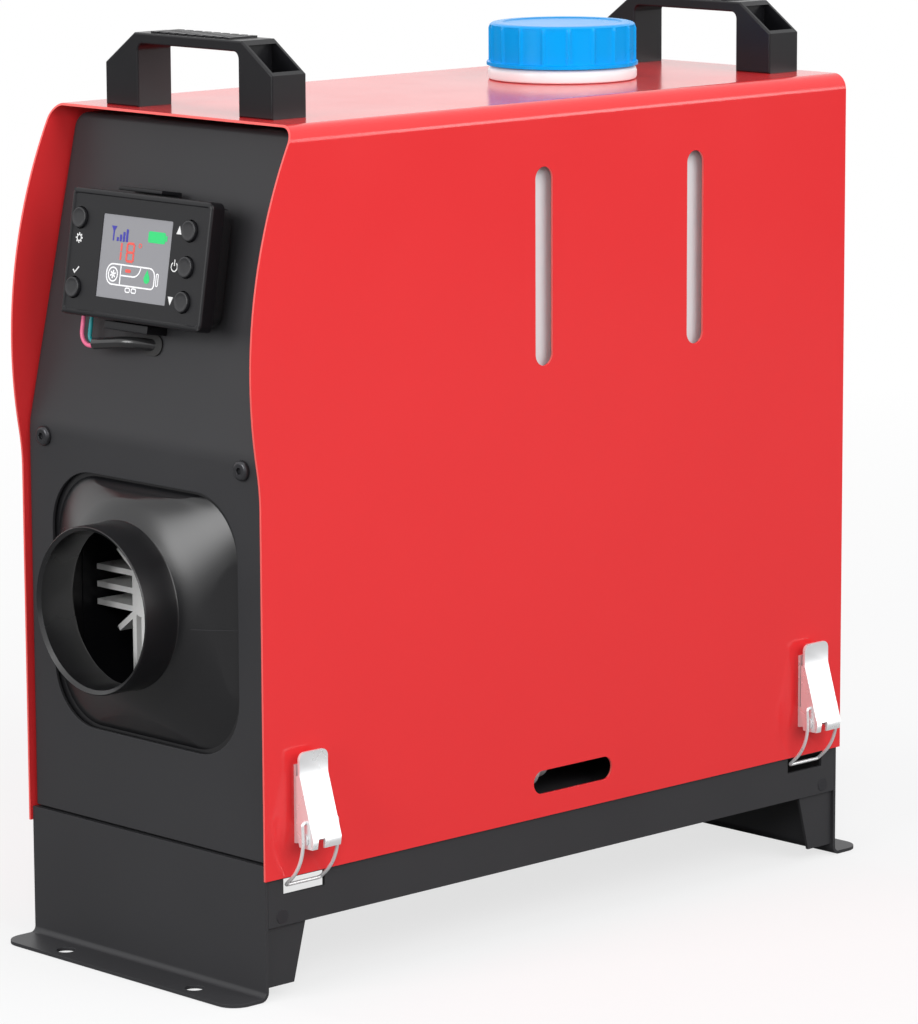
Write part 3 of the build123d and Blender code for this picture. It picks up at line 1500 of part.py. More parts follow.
# ------------------------------------------------------------------ write every piece
def main():
    """Build every piece and write each to its file."""
    front_foot = foot()
    lower_shell, upper_shell = heater_shells()
    front_middle, rear_middle = handle_middles()
    plates = [piece for y in latch_places() for piece in both_sides(latch_plate(y))]
    pieces = {
        "base_tray": base_tray(),
        "front_foot": front_foot,
        "rear_foot": rear_copy(front_foot),
        "foot_rivets": foot_rivets(),
        "front_panel": front_panel(),
        "rear_panel": rear_panel(),
        "panel_screws": panel_screws(),
        "tank_shelf": tank_shelf(),
        "red_cover": red_cover(),
        "front_handle": handle(front_middle),
        "rear_handle": handle(rear_middle),
        "handle_screws": handle_screws(),
        "fuel_tank": fuel_tank(),
        "tank_collar": tank_collar(),
        "cap_seal": cap_seal(),
        "fuel_cap": fuel_cap(),
        "heater_lower_shell": lower_shell,
        "heater_upper_shell": upper_shell,
        "outlet_adaptor": outlet_adaptor(),
        "heat_exchanger": heat_exchanger(),
        "heater_gasket": heater_gasket(),
        "heater_nuts": heater_nuts(),
        "exhaust_stub": stub(*stub_sizes()[0]),
        "intake_stub": stub(*stub_sizes()[1]),
        "combustion_chamber": combustion_chamber(),
        "glow_plug": glow_plug(),
        "blower_motor": blower_motor(),
        "motor_shaft": motor_shaft(),
        "combustion_fan": combustion_fan(),
        "air_fan": air_fan(),
        "control_board": control_board(),
        "intake_guard": intake_guard(),
        "fuel_outlet": fuel_outlet(),
        "fuel_hose": fuel_hose(),
        "fuel_filter": fuel_filter(),
        "fuel_pump": fuel_pump(),
        "pump_bracket": pump_bracket(),
        "fuel_line": fuel_line(),
        "controller_bracket": controller_bracket(),
        "controller_back": controller_back(),
        "controller_bezel": controller_bezel(),
        "display_window": display_window(),
        "controller_lead": controller_lead(),
        "lead_wires": lead_wires(),
        "cable_grommets": cable_grommets(),
        "latch_plates": plates,
        "latch_rivets": latch_rivets()}
    for name, place in button_places().items():
        pieces[name] = button(*place)
    pieces.update(latch_sets())
    for name, shape in pieces.items():
        write(name, shape)
    print(len(pieces), "pieces written")


main()
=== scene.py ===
"""Dresses a diesel air heater: sheet metal, mouldings, latches, controller and studio."""

import math

import bmesh
import bpy
from bpy.props import FloatProperty, FloatVectorProperty, IntProperty, PointerProperty
from mathutils import Matrix, Vector


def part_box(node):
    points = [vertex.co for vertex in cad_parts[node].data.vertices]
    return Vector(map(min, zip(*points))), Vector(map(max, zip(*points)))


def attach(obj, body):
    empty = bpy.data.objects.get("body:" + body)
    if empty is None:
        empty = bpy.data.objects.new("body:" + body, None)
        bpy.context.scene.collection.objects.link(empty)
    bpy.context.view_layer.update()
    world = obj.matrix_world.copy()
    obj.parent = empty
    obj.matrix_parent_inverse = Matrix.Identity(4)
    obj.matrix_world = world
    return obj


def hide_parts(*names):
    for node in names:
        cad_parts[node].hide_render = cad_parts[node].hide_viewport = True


bl_info = {
    "name": "Diesel air heater",
    "version": (1, 0, 0),
    "blender": (4, 5, 0),
    "location": "View3D > Sidebar > Heater",
    "description": "Builds the visible pieces of a diesel air heater round its frame",
    "category": "Object",
}

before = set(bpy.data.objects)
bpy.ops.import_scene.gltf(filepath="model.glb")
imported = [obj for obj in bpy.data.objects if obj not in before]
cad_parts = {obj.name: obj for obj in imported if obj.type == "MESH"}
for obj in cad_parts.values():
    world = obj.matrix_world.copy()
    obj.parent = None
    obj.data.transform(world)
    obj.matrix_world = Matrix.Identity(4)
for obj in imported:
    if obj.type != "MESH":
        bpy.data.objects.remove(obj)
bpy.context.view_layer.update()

cover_low, cover_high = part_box("red_cover")
panel_low, panel_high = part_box("front_panel")
collar_low, collar_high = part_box("outlet_adaptor")
cap_low, cap_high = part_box("fuel_cap")
ring_low, ring_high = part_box("tank_collar")
housing_low, housing_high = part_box("heater_lower_shell")[0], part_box("heater_upper_shell")[1]

CASE_LENGTH = 0.345
REAR = cover_high.y
FRONT = REAR - CASE_LENGTH
PANEL_FACE = panel_low.y

# where the front panel starts to lean back, and its angle
KNEE = 0.220
LEAN = math.atan(0.225)

# vertices nearer than this are one, and faces that meet at fewer degrees than this are one
MERGE_DISTANCE = 2e-6
FACET_ANGLE = 0.4
# places nearer than this are the same, and the two ends of a slot leave this much flat
NEAR = 1e-5
FLAT = 1e-5


# ---------------------------------------------------------------- sizes and colours
def length(name, description, default):
    """A size in metres that a user can change."""
    return FloatProperty(name=name, description=description, default=default,
                         unit="LENGTH", subtype="DISTANCE", precision=5)


def colour(name, description, default):
    """A colour that a user can change."""
    return FloatVectorProperty(name=name, description=description, default=default,
                               size=3, min=0.0, max=1.0, subtype="COLOR")


class HeaterSizes(bpy.types.PropertyGroup):
    """Sizes that change how the pieces look without changing the frame."""
    sheet: length("Cover sheet", "Thickness of the cover's sheet", 0.001)
    cover_bend: length("Cover bend", "Outer radius of the cover's bends", 0.007)
    bulge_reach: length("Bulge reach", "How far the cover's front edge swells out", 0.0045)
    bulge_height: length("Bulge height", "Height of the widest point of the swell", 0.253)
    bulge_radius: length("Bulge radius", "Radius of the swelling edge", 0.210)
    bulge_blend: length("Bulge blend", "Radius that blends the swell into the edge below", 0.100)
    panel_sheet: length("Panel sheet", "Thickness of the panels", 0.0015)
    panel_bend: length("Panel bend", "Radius of the front panel's bend", 0.016)
    edge_break: length("Edge break", "Softening of cut sheet edges", 0.00032)
    moulding_edge: length("Moulding edge", "Softening of moulded edges", 0.0006)
    slot_width: length("Sight slot width", "Width of the slots that show the tank", 0.010)
    collar_wall: length("Collar wall", "Thickness of the outlet collar", 0.002)
    bell_rim: length("Bell rim", "How far the bell's rim reaches behind the panel", 0.0055)
    bezel_rim: length("Bezel rim", "Width of the raised rim of the controller", 0.0020)
    cap_ribs: IntProperty(name="Cap ribs", description="Number of ribs round the cap",
                          default=18, min=8, max=40)


class HeaterColours(bpy.types.PropertyGroup):
    """Colours of the heater's finishes."""
    cover_red: colour("Cover red", "Glossy powder coat of the cover", (0.81, 0.034, 0.038))
    # painted highlight: the cover's cut edges are coloured a paler pink than the red, standing in
    # for the light that the thin edge catches, not a thinner coat
    edge_highlight_pink: colour("Edge pink", "Thin powder coat on the cover's cut edges",
                      (0.86, 0.12, 0.11))
    panel_black: colour("Panel black", "Satin powder coat of the panels and base",
                        (0.030, 0.030, 0.0325))
    moulding_black: colour("Moulding black", "Black mouldings", (0.008, 0.008, 0.0095))
    bell_black: colour("Bell black", "Heat-proof moulding of the outlet", (0.007, 0.007, 0.008))
    cap_blue: colour("Cap blue", "Moulded filler cap", (0.0, 0.36, 0.88))
    ring_white: colour("Ring white", "Moulded ring under the cap", (0.86, 0.87, 0.88))
    tank_white: colour("Tank white", "Blow-moulded tank", (0.82, 0.84, 0.86))
    zinc: colour("Zinc", "Bright zinc plate of the latches", (0.86, 0.87, 0.88))
    casting: colour("Casting", "Cast aluminium", (0.92, 0.92, 0.91))
    screen_grey: colour("Screen grey", "Lit screen", (0.265, 0.265, 0.285))


def sizes():
    """The scene's own sizes of the heater."""
    return bpy.context.scene.heater_sizes


def colours():
    """The scene's own colours of the heater."""
    return bpy.context.scene.heater_colours


# ---------------------------------------------------------------- modelling helpers
def deselect():
    """Leaves edit mode and selects nothing."""
    if bpy.context.object and bpy.context.object.mode != "OBJECT":
        bpy.ops.object.mode_set(mode="OBJECT")
    bpy.ops.object.select_all(action="DESELECT")


def only(piece):
    """Selects one piece and makes it active."""
    deselect()
    piece.select_set(True)
    bpy.context.view_layer.objects.active = piece


def named(name):
    """Names the active piece and its mesh."""
    piece = bpy.context.object
    piece.name = name
    piece.data.name = name
    return piece


def pick(piece, kind, test):
    """Opens the piece in edit mode with only what passes the test selected."""
    only(piece)
    bpy.ops.object.mode_set(mode="EDIT")
    bpy.ops.mesh.select_mode(type=kind)
    bpy.ops.mesh.select_all(action="DESELECT")
    mesh = bmesh.from_edit_mesh(piece.data)
    group = {"VERT": mesh.verts, "EDGE": mesh.edges, "FACE": mesh.faces}[kind]
    for part in group:
        if test(part):
            part.select_set(True)
    bmesh.update_edit_mesh(piece.data)


def every(part):
    """A test that every vertex, edge or face passes."""
    return True


def middle(part):
    """The middle of an edge or a face."""
    return sum((v.co for v in part.verts), Vector()) / len(part.verts)


def close_edit():
    """Goes back from edit mode to object mode."""
    bpy.ops.object.mode_set(mode="OBJECT")


def apply_place():
    """Moves the active piece's place, turn and size into its mesh."""
    bpy.ops.object.transform_apply(location=True, rotation=True, scale=True)


def extrude(move):
    """Extrudes what is selected along one move."""
    bpy.ops.mesh.extrude_region_move(TRANSFORM_OT_translate={"value": move})


def resize(share, about):
    """Scales what is selected about a point."""
    bpy.ops.transform.resize(value=share, center_override=about)


def outward(piece):
    """Merges doubled vertices and turns every face outward."""
    pick(piece, "FACE", every)
    bpy.ops.mesh.remove_doubles(threshold=MERGE_DISTANCE)
    bpy.ops.mesh.normals_make_consistent(inside=False)
    close_edit()


def draw(name, points):
    """Draws a closed outline point by point and fills it."""
    deselect()
    bpy.ops.mesh.primitive_plane_add(size=0.001, location=points[0])
    piece = named(name)
    apply_place()
    bpy.ops.object.mode_set(mode="EDIT")
    bpy.ops.mesh.select_mode(type="VERT")
    bpy.ops.mesh.select_all(action="SELECT")
    bpy.ops.mesh.merge(type="CENTER")
    for near, far in zip(points, points[1:]):
        step = Vector(far) - Vector(near)
        extrude(step)
    bpy.ops.mesh.select_all(action="SELECT")
    bpy.ops.mesh.edge_face_add()
    close_edit()
    return piece


def push(piece, move):
    """Extrudes a flat outline into a solid."""
    pick(piece, "FACE", every)
    extrude(move)
    close_edit()
    outward(piece)
    return piece


def prism(name, points, move):
    """A closed outline pushed along one move into a solid."""
    return push(draw(name, points), Vector(move))


def slab(name, low, high):
    """A block between two corners."""
    low, high = Vector(low), Vector(high)
    deselect()
    bpy.ops.mesh.primitive_cube_add(size=1, location=(low + high) / 2, scale=high - low)
    piece = named(name)
    apply_place()
    return piece


def drum(name, centre, radius, depth, along="Z", steps=64):
    """A round bar about a point, along one axis."""
    turn = {"X": (0, math.pi / 2, 0), "Y": (math.pi / 2, 0, 0), "Z": (0, 0, 0)}[along]
    deselect()
    bpy.ops.mesh.primitive_cylinder_add(vertices=steps, radius=radius, depth=depth,
                                        location=centre, rotation=turn)
    piece = named(name)
    apply_place()
    return piece


def cut(piece, cutter, operation="DIFFERENCE"):
    """Takes the cutter out of the piece, or joins it, and removes it."""
    only(piece)
    bpy.ops.object.modifier_add(type="BOOLEAN")
    modifier = piece.modifiers[-1]
    modifier.operation = operation
    modifier.object = cutter
    modifier.solver = "EXACT"
    bpy.ops.object.modifier_apply(modifier=modifier.name)
    bpy.data.objects.remove(cutter)
    return piece


def soften(piece, width, steps=2, angle=30.0):
    """Rounds every edge sharper than the angle."""
    only(piece)
    bpy.ops.object.modifier_add(type="BEVEL")
    modifier = piece.modifiers[-1]
    modifier.width = width
    modifier.segments = steps
    modifier.limit_method = "ANGLE"
    modifier.angle_limit = math.radians(angle)
    modifier.miter_outer = "MITER_ARC"
    modifier.use_clamp_overlap = True
    bpy.ops.object.modifier_apply(modifier=modifier.name)
    return piece


def thicken(piece, wall):
    """Gives a shell its wall, behind its outward faces."""
    only(piece)
    bpy.ops.object.modifier_add(type="SOLIDIFY")
    modifier = piece.modifiers[-1]
    modifier.thickness = wall
    modifier.offset = -1.0
    modifier.use_even_offset = True
    bpy.ops.object.modifier_apply(modifier=modifier.name)
    return piece


def join(name, pieces):
    """Joins several pieces into one."""
    deselect()
    for piece in pieces:
        piece.select_set(True)
    bpy.context.view_layer.objects.active = pieces[0]
    bpy.ops.object.join()
    return named(name)


def copy_of(piece, name, turn):
    """A copy of the piece with its own mesh, moved by a matrix."""
    only(piece)
    bpy.ops.object.duplicate()
    twin = named(name)
    twin.data.transform(turn)
    return twin


def recast(node, name, width, steps=2, angle=30.0):
    """A clean copy of a frame node, with its edges softened."""
    only(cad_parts[node])
    bpy.ops.object.duplicate()
    piece = named(name)
    for key in list(piece.keys()):
        del piece[key]
    piece.parent = None
    piece.hide_render = False
    pick(piece, "FACE", every)
    bpy.ops.mesh.remove_doubles(threshold=MERGE_DISTANCE)
    bpy.ops.mesh.dissolve_limited(angle_limit=math.radians(FACET_ANGLE))
    close_edit()
    if piece.data.has_custom_normals:
        bpy.ops.mesh.customdata_custom_splitnormals_clear()
    if width > 0:
        soften(piece, width, steps, angle)
    return piece


def finish(piece, material, body="case", stands_for=(), slot=None, angle=32.0):
    """Applies the piece's place, turns its faces outward, and gives it finish and body."""
    only(piece)
    apply_place()
    outward(piece)
    only(piece)
    bpy.ops.object.shade_smooth_by_angle(angle=math.radians(angle))
    bpy.ops.object.modifier_add(type="WEIGHTED_NORMAL")
    piece.modifiers[-1].keep_sharp = True
    bpy.ops.object.modifier_apply(modifier=piece.modifiers[-1].name)
    piece.data.materials.clear()
    piece.data.materials.append(material)
    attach(piece, body)
    if stands_for:
        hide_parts(*stands_for)
    return piece


def rounded(corners, steps=8):
    """A closed outline with tangent arcs, from (across, up, radius) corners."""
    outline = []
    for index, (across, up, radius) in enumerate(corners):
        here = Vector((across, up))
        if radius <= 0:
            outline.append(here)
            continue
        before = (Vector(corners[index - 1][:2]) - here).normalized()
        after = (Vector(corners[(index + 1) % len(corners)][:2]) - here).normalized()
        half = before.angle(after) / 2
        centre = here + (before + after).normalized() * radius / math.sin(half)
        start = here + before * radius / math.tan(half) - centre
        end = here + after * radius / math.tan(half) - centre
        sweep = math.atan2(start.x * end.y - start.y * end.x, start.dot(end))
        for step in range(steps + 1):
            spin = Matrix.Rotation(sweep * step / steps, 2)
            outline.append(centre + spin @ start)
    return outline


def box_outline(wide, high, radius, steps=8, centre=(0.0, 0.0)):
    """A rectangle with four equal rounded corners."""
    x, z = centre
    half_wide, half_high = wide / 2, high / 2
    return rounded([(x - half_wide, z - half_high, radius), (x + half_wide, z - half_high, radius),
                    (x + half_wide, z + half_high, radius), (x - half_wide, z + half_high, radius)],
                   steps)


def arc(centre, radius, start, end, steps):
    """Points on an arc between two angles in degrees."""
    points = []
    for step in range(steps + 1):
        turn = math.radians(start + (end - start) * step / steps)
        points.append(Vector((centre[0] + radius * math.cos(turn),
                              centre[1] + radius * math.sin(turn))))
    return points


def facing_front(outline, y):
    """The outline's points at one y, its second number as the height."""
    return [(p.x, y, p.y) for p in outline]


def facing_side(outline, x):
    """The outline's points at one x, its numbers as y and the height."""
    return [(x, p.x, p.y) for p in outline]


def facing_up(outline, z):
    """The outline's points at one height."""
    return [(p.x, p.y, z) for p in outline]


# ---------------------------------------------------------------- finishes
def add_node(tree, kind, values):
    """A new shader node with some of its inputs set."""
    node = tree.nodes.new("ShaderNode" + kind)
    for name, value in values.items():
        node.inputs[name].default_value = value
    return node


def surface(name, tone, rough, metal=0.0, grain=1400.0, relief=0.10, depth=0.00005,
            broad=14.0, shift=0.05, rough_shift=0.12, stretch=(1.0, 1.0, 1.0), coat=0.0,
            coat_rough=0.05, specular=0.5):
    """A finish with fine relief, broad tone changes and uneven gloss."""
    material = bpy.data.materials.new(name)
    material.use_nodes = True
    tree = material.node_tree
    shader = tree.nodes["Principled BSDF"]
    shader.inputs["Metallic"].default_value = metal
    shader.inputs["Coat Weight"].default_value = coat
    shader.inputs["Coat Roughness"].default_value = coat_rough
    shader.inputs["Specular IOR Level"].default_value = specular
    place = tree.nodes.new("ShaderNodeTexCoord")
    mapping = add_node(tree, "Mapping", {"Scale": stretch})
    tree.links.new(place.outputs["Object"], mapping.inputs["Vector"])
    fine = add_node(tree, "TexNoise", {"Scale": grain, "Detail": 3.0})
    wide = add_node(tree, "TexNoise", {"Scale": broad, "Detail": 4.0})
    for noise in (fine, wide):
        tree.links.new(mapping.outputs["Vector"], noise.inputs["Vector"])
    mix = tree.nodes.new("ShaderNodeMix")
    mix.data_type = "RGBA"
    mix.inputs["A"].default_value = (*(c * (1 - shift) for c in tone), 1.0)
    mix.inputs["B"].default_value = (*(min(1.0, c * (1 + shift)) for c in tone), 1.0)
    tree.links.new(wide.outputs["Fac"], mix.inputs["Factor"])
    tree.links.new(mix.outputs["Result"], shader.inputs["Base Color"])
    spread = add_node(tree, "MapRange", {
        "From Min": 0.3, "From Max": 0.7, "To Min": rough * (1 - rough_shift),
        "To Max": min(1.0, rough * (1 + rough_shift))})
    tree.links.new(wide.outputs["Fac"], spread.inputs["Value"])
    tree.links.new(spread.outputs["Result"], shader.inputs["Roughness"])
    bump = add_node(tree, "Bump", {"Strength": relief, "Distance": depth})
    tree.links.new(fine.outputs["Fac"], bump.inputs["Height"])
    tree.links.new(bump.outputs["Normal"], shader.inputs["Normal"])
    return material


def soft_plastic(name, tone, rough, reach):
    """A pale plastic that light enters a little."""
    material = surface(name, tone, rough, grain=500.0, relief=0.15, shift=0.02)
    shader = material.node_tree.nodes["Principled BSDF"]
    shader.inputs["Subsurface Weight"].default_value = 0.35
    shader.inputs["Subsurface Radius"].default_value = (reach, reach, reach)
    shader.inputs["Subsurface Scale"].default_value = 1.0
    return material


def lit(name, tone, strength):
    """A finish for lit marks on the screen."""
    material = surface(name, tone, 0.4, shift=0.03, relief=0.02)
    shader = material.node_tree.nodes["Principled BSDF"]
    shader.inputs["Emission Color"].default_value = (*tone, 1.0)
    shader.inputs["Emission Strength"].default_value = strength
    return material


finishes = {}


def dress(node, name, material, slot, width=0.0, steps=2, edge=30.0, body="case", angle=32.0):
    """A clean copy of a frame node in its place, softened, with its finish and body."""
    piece = recast(node, name, width, steps, edge)
    return finish(piece, finishes[material], body, [node], slot, angle)


def make_finishes():
    """Makes every finish once, under the name that the operators ask for."""
    tone = colours()
    black = tuple(tone.panel_black)
    moulded = tuple(tone.moulding_black)
    finishes.update({
        "cover": surface("red_powder_coat", tuple(tone.cover_red), 0.17, grain=900.0,
                         relief=0.05, depth=0.00003, shift=0.02, specular=0.45),
        # painted highlight on the cover's cut edges: a paler pink in place of the light that the
        # edge catches
        "painted_edge_highlight": surface("painted_edge_highlight_red", tuple(tone.edge_highlight_pink), 0.30, grain=900.0,
                             relief=0.05, depth=0.00003, shift=0.02),
        "panel": surface("black_powder_coat", black, 0.46, grain=1500.0, relief=0.24,
                         depth=0.00007, shift=0.06, specular=0.3),
        "moulding": surface("black_moulding", moulded, 0.36, grain=2200.0, relief=0.14,
                            depth=0.00004, shift=0.06, specular=0.32),
        "bell": surface("black_bell", tuple(tone.bell_black), 0.30, grain=1600.0, relief=0.12,
                        depth=0.00003, shift=0.06, specular=0.6),
        "gloss": surface("black_gloss", (0.012, 0.012, 0.013), 0.16, grain=600.0, relief=0.05,
                         shift=0.05, coat=0.3),
        "button": surface("button_black", (0.013, 0.013, 0.015), 0.36, grain=2500.0,
                          relief=0.12, shift=0.06),
        "cap": surface("blue_moulding", tuple(tone.cap_blue), 0.26, grain=500.0, relief=0.08,
                       depth=0.00004, shift=0.03, specular=0.2),
        "ring": soft_plastic("white_moulding", tuple(tone.ring_white), 0.32, 0.002),
        "tank": soft_plastic("tank_plastic", tuple(tone.tank_white), 0.42, 0.004),
        "zinc": surface("zinc_plate", tuple(tone.zinc), 0.28, metal=0.45, grain=700.0,
                        relief=0.08, depth=0.00003, broad=60.0, shift=0.02, rough_shift=0.1),
        "steel": surface("plain_steel", (0.50, 0.50, 0.51), 0.38, metal=1.0, grain=900.0,
                         relief=0.2, broad=40.0, shift=0.12, stretch=(1.0, 1.0, 0.15)),
        "screw": surface("blackened_steel", (0.05, 0.05, 0.055), 0.30, metal=0.6, grain=1500.0,
                         relief=0.15, shift=0.15),
        "casting": surface("cast_aluminium", tuple(tone.casting), 0.55, grain=520.0,
                           relief=0.5, depth=0.00020, broad=70.0, shift=0.06),
        "rubber": surface("black_rubber", (0.016, 0.016, 0.016), 0.62, grain=1800.0, relief=0.3,
                          shift=0.10),
        "sheath": surface("lead_sheath", (0.018, 0.018, 0.019), 0.22, grain=700.0, relief=0.10,
                          shift=0.06, coat=0.3),
        "hose": surface("fuel_tube", (0.03, 0.03, 0.032), 0.45, grain=900.0, relief=0.2),
        "filter": soft_plastic("filter_plastic", (0.72, 0.66, 0.46), 0.30, 0.002),
        "board": surface("circuit_board", (0.012, 0.14, 0.045), 0.35, grain=900.0, relief=0.3,
                         shift=0.15),
        "stained": surface("heat_stained_metal", (0.26, 0.22, 0.19), 0.50, metal=0.9,
                           grain=300.0, relief=0.4, broad=55.0, shift=0.35),
        "gasket": surface("fibre_gasket", (0.06, 0.06, 0.06), 0.85, grain=1200.0, relief=0.5),
        "seal": surface("soft_liner", (0.25, 0.25, 0.25), 0.7, grain=900.0, relief=0.3),
        "screen": surface("screen_grey", tuple(tone.screen_grey), 0.24, grain=3000.0,
                          relief=0.03, shift=0.02, coat=0.25),
        "print": surface("white_print", (0.80, 0.80, 0.80), 0.5, grain=2500.0, relief=0.05,
                         shift=0.02),
        "white_mark": lit("screen_white", (0.88, 0.88, 0.90), 0.10),
        "blue_mark": lit("screen_violet", (0.045, 0.042, 0.34), 0.05),
        "green_mark": lit("screen_green", (0.03, 0.58, 0.17), 0.12),
        "red_mark": lit("screen_red", (0.74, 0.10, 0.08), 0.12),
        "pink_wire": surface("pink_wire", (0.82, 0.16, 0.30), 0.35, grain=900.0, relief=0.08),
        "teal_wire": surface("teal_wire", (0.02, 0.26, 0.28), 0.35, grain=900.0, relief=0.08),
    })


# ---------------------------------------------------------------- operators
class HeaterStage(bpy.types.Operator):
    """Sets the camera, the lamps, the world and the floor."""
    bl_idname = "heater.stage"
    bl_label = "Stage"

    azimuth = 46.122
    rise = 10.131
    roll = -0.254
    target = Vector((0.008352, 0.00475, 0.170475))
    distance = 2.080292
    lens = 170.029
    view_reach = 60.0

    # name, place, what it lights, width, watts, and whether glossy faces mirror it
    lamps = (
        ("side_softbox", (1.7, 0.1, 1.2), (0.0, 0.0, 0.15), 1.6, 23.0, True),
        ("front_softbox", (-0.25, -2.0, 0.95), (0.0, 0.0, 0.15), 0.9, 16.0, True),
        ("top_softbox", (0.35, -0.45, 2.0), (0.0, 0.0, 0.2), 1.1, 4.0, True),
        ("key_softbox", (1.20, -1.20, 0.85), (0.0, -0.1, 0.15), 0.4, 6.0, False),
        ("low_softbox", (1.65, 1.60, 0.62), (0.0, 0.0, 0.25), 0.5, 4.0, True),
        ("outlet_softbox", (0.55, -2.0, 0.40), (0.0, -0.17, 0.15), 0.4, 8.0, False),
        ("left_softbox", (-2.1, -0.1, 0.9), (0.0, 0.0, 0.15), 1.0, 17.0, False),
        ("rear_softbox", (0.2, 2.2, 0.9), (0.0, 0.0, 0.15), 1.0, 11.0, False))

    # the world's strength as light, as seen and as mirrored
    soft_level = 0.36
    seen_level = 1.0
    mirrored_level = 1.12

    white = (1.0, 1.0, 1.0, 1.0)
    floor_matt = (0.25, 0.25, 0.25, 1.0)
    floor_seen = (0.80, 0.80, 0.81, 1.0)
    floor_width = 60.0
    floor_drop = 0.0002
    # the seen floor turns from matt to plain white between these distances
    fade_start = 0.3
    fade_end = 1.5
    near_glow = 0.72

    def execute(self, context):
        deselect()
        self.set_camera(context)
        for lamp in self.lamps:
            self.hang_lamp(context, *lamp)
        self.light_world(context.scene)
        self.lay_floor()
        return {"FINISHED"}

    def set_camera(self, context):
        """Puts the camera where the photograph was taken from."""
        azimuth, rise, roll = (math.radians(a) for a in (self.azimuth, self.rise, self.roll))
        back = Vector((math.sin(azimuth) * math.cos(rise), -math.cos(azimuth) * math.cos(rise),
                       math.sin(rise)))
        right = (-back).cross(Vector((0, 0, 1))).normalized()
        up = right.cross(-back)
        across = math.cos(roll) * right + math.sin(roll) * up
        upright = -math.sin(roll) * right + math.cos(roll) * up
        place = Matrix((across, upright, back)).transposed().to_4x4()
        place.translation = self.target + back * self.distance
        bpy.ops.object.camera_add()
        camera = context.object
        camera.name = "studio_camera"
        camera.matrix_world = place
        camera.data.sensor_fit = "VERTICAL"
        camera.data.sensor_height = 36.0
        camera.data.lens = self.lens
        camera.data.clip_end = self.view_reach
        context.scene.camera = camera
        context.scene.view_settings.view_transform = "Standard"

    def hang_lamp(self, context, name, spot, aim, size, power, mirrored):
        """Hangs one square softbox and points it."""
        bpy.ops.object.light_add(type="AREA", location=spot)
        lamp = context.object
        lamp.name = name
        lamp.data.shape = "SQUARE"
        lamp.data.size = size
        lamp.data.energy = power
        lamp.visible_glossy = mirrored
        direction = Vector(aim) - Vector(spot)
        lamp.rotation_euler = direction.to_track_quat("-Z", "Y").to_euler()

    def background(self, tree, strength):
        """A white background of one strength."""
        node = add_node(tree, "Background", {"Color": self.white, "Strength": strength})
        return node.outputs["Background"]

    def light_world(self, scene):
        """A white world that lights softly and is seen and mirrored brighter."""
        world = bpy.data.worlds.new("pale_studio")
        scene.world = world
        world.use_nodes = True
        tree = world.node_tree
        tree.nodes.clear()
        output = tree.nodes.new("ShaderNodeOutputWorld")
        path = tree.nodes.new("ShaderNodeLightPath")
        by_gloss = tree.nodes.new("ShaderNodeMixShader")
        tree.links.new(path.outputs["Is Glossy Ray"], by_gloss.inputs["Fac"])
        tree.links.new(self.background(tree, self.soft_level), by_gloss.inputs[1])
        tree.links.new(self.background(tree, self.mirrored_level), by_gloss.inputs[2])
        by_eye = tree.nodes.new("ShaderNodeMixShader")
        tree.links.new(path.outputs["Is Camera Ray"], by_eye.inputs["Fac"])
        tree.links.new(by_gloss.outputs["Shader"], by_eye.inputs[1])
        tree.links.new(self.background(tree, self.seen_level), by_eye.inputs[2])
        tree.links.new(by_eye.outputs["Shader"], output.inputs["Surface"])

    def lay_floor(self):
        """A pale floor that keeps the shadow and fades into the white background."""
        deselect()
        bpy.ops.mesh.primitive_plane_add(size=self.floor_width, location=(0, 0, -self.floor_drop))
        floor = named("studio_floor")
        apply_place()
        material = bpy.data.materials.new("pale_floor")
        material.use_nodes = True
        tree = material.node_tree
        tree.nodes.clear()
        output = tree.nodes.new("ShaderNodeOutputMaterial")
        matt = tree.nodes.new("ShaderNodeBsdfDiffuse")
        tone = tree.nodes.new("ShaderNodeMix")
        tone.data_type = "RGBA"
        tone.inputs["A"].default_value = self.floor_matt
        tone.inputs["B"].default_value = self.floor_seen
        path = tree.nodes.new("ShaderNodeLightPath")
        tree.links.new(path.outputs["Is Camera Ray"], tone.inputs["Factor"])
        tree.links.new(tone.outputs["Result"], matt.inputs["Color"])
        glow = add_node(tree, "Emission", {"Color": self.white, "Strength": 1.0})
        spot = tree.nodes.new("ShaderNodeTexCoord")
        away = tree.nodes.new("ShaderNodeVectorMath")
        away.operation = "LENGTH"
        tree.links.new(spot.outputs["Object"], away.inputs[0])
        fade = add_node(tree, "MapRange", {
            "From Min": self.fade_start, "From Max": self.fade_end,
            "To Min": self.near_glow, "To Max": 1.0})
        tree.links.new(away.outputs["Value"], fade.inputs["Value"])
        share = tree.nodes.new("ShaderNodeMath")
        share.operation = "MULTIPLY"
        tree.links.new(path.outputs["Is Camera Ray"], share.inputs[0])
        tree.links.new(fade.outputs["Result"], share.inputs[1])
        mix = tree.nodes.new("ShaderNodeMixShader")
        tree.links.new(share.outputs["Value"], mix.inputs["Fac"])
        tree.links.new(matt.outputs["BSDF"], mix.inputs[1])
        tree.links.new(glow.outputs["Emission"], mix.inputs[2])
        tree.links.new(mix.outputs["Shader"], output.inputs["Surface"])
        floor.data.materials.append(material)


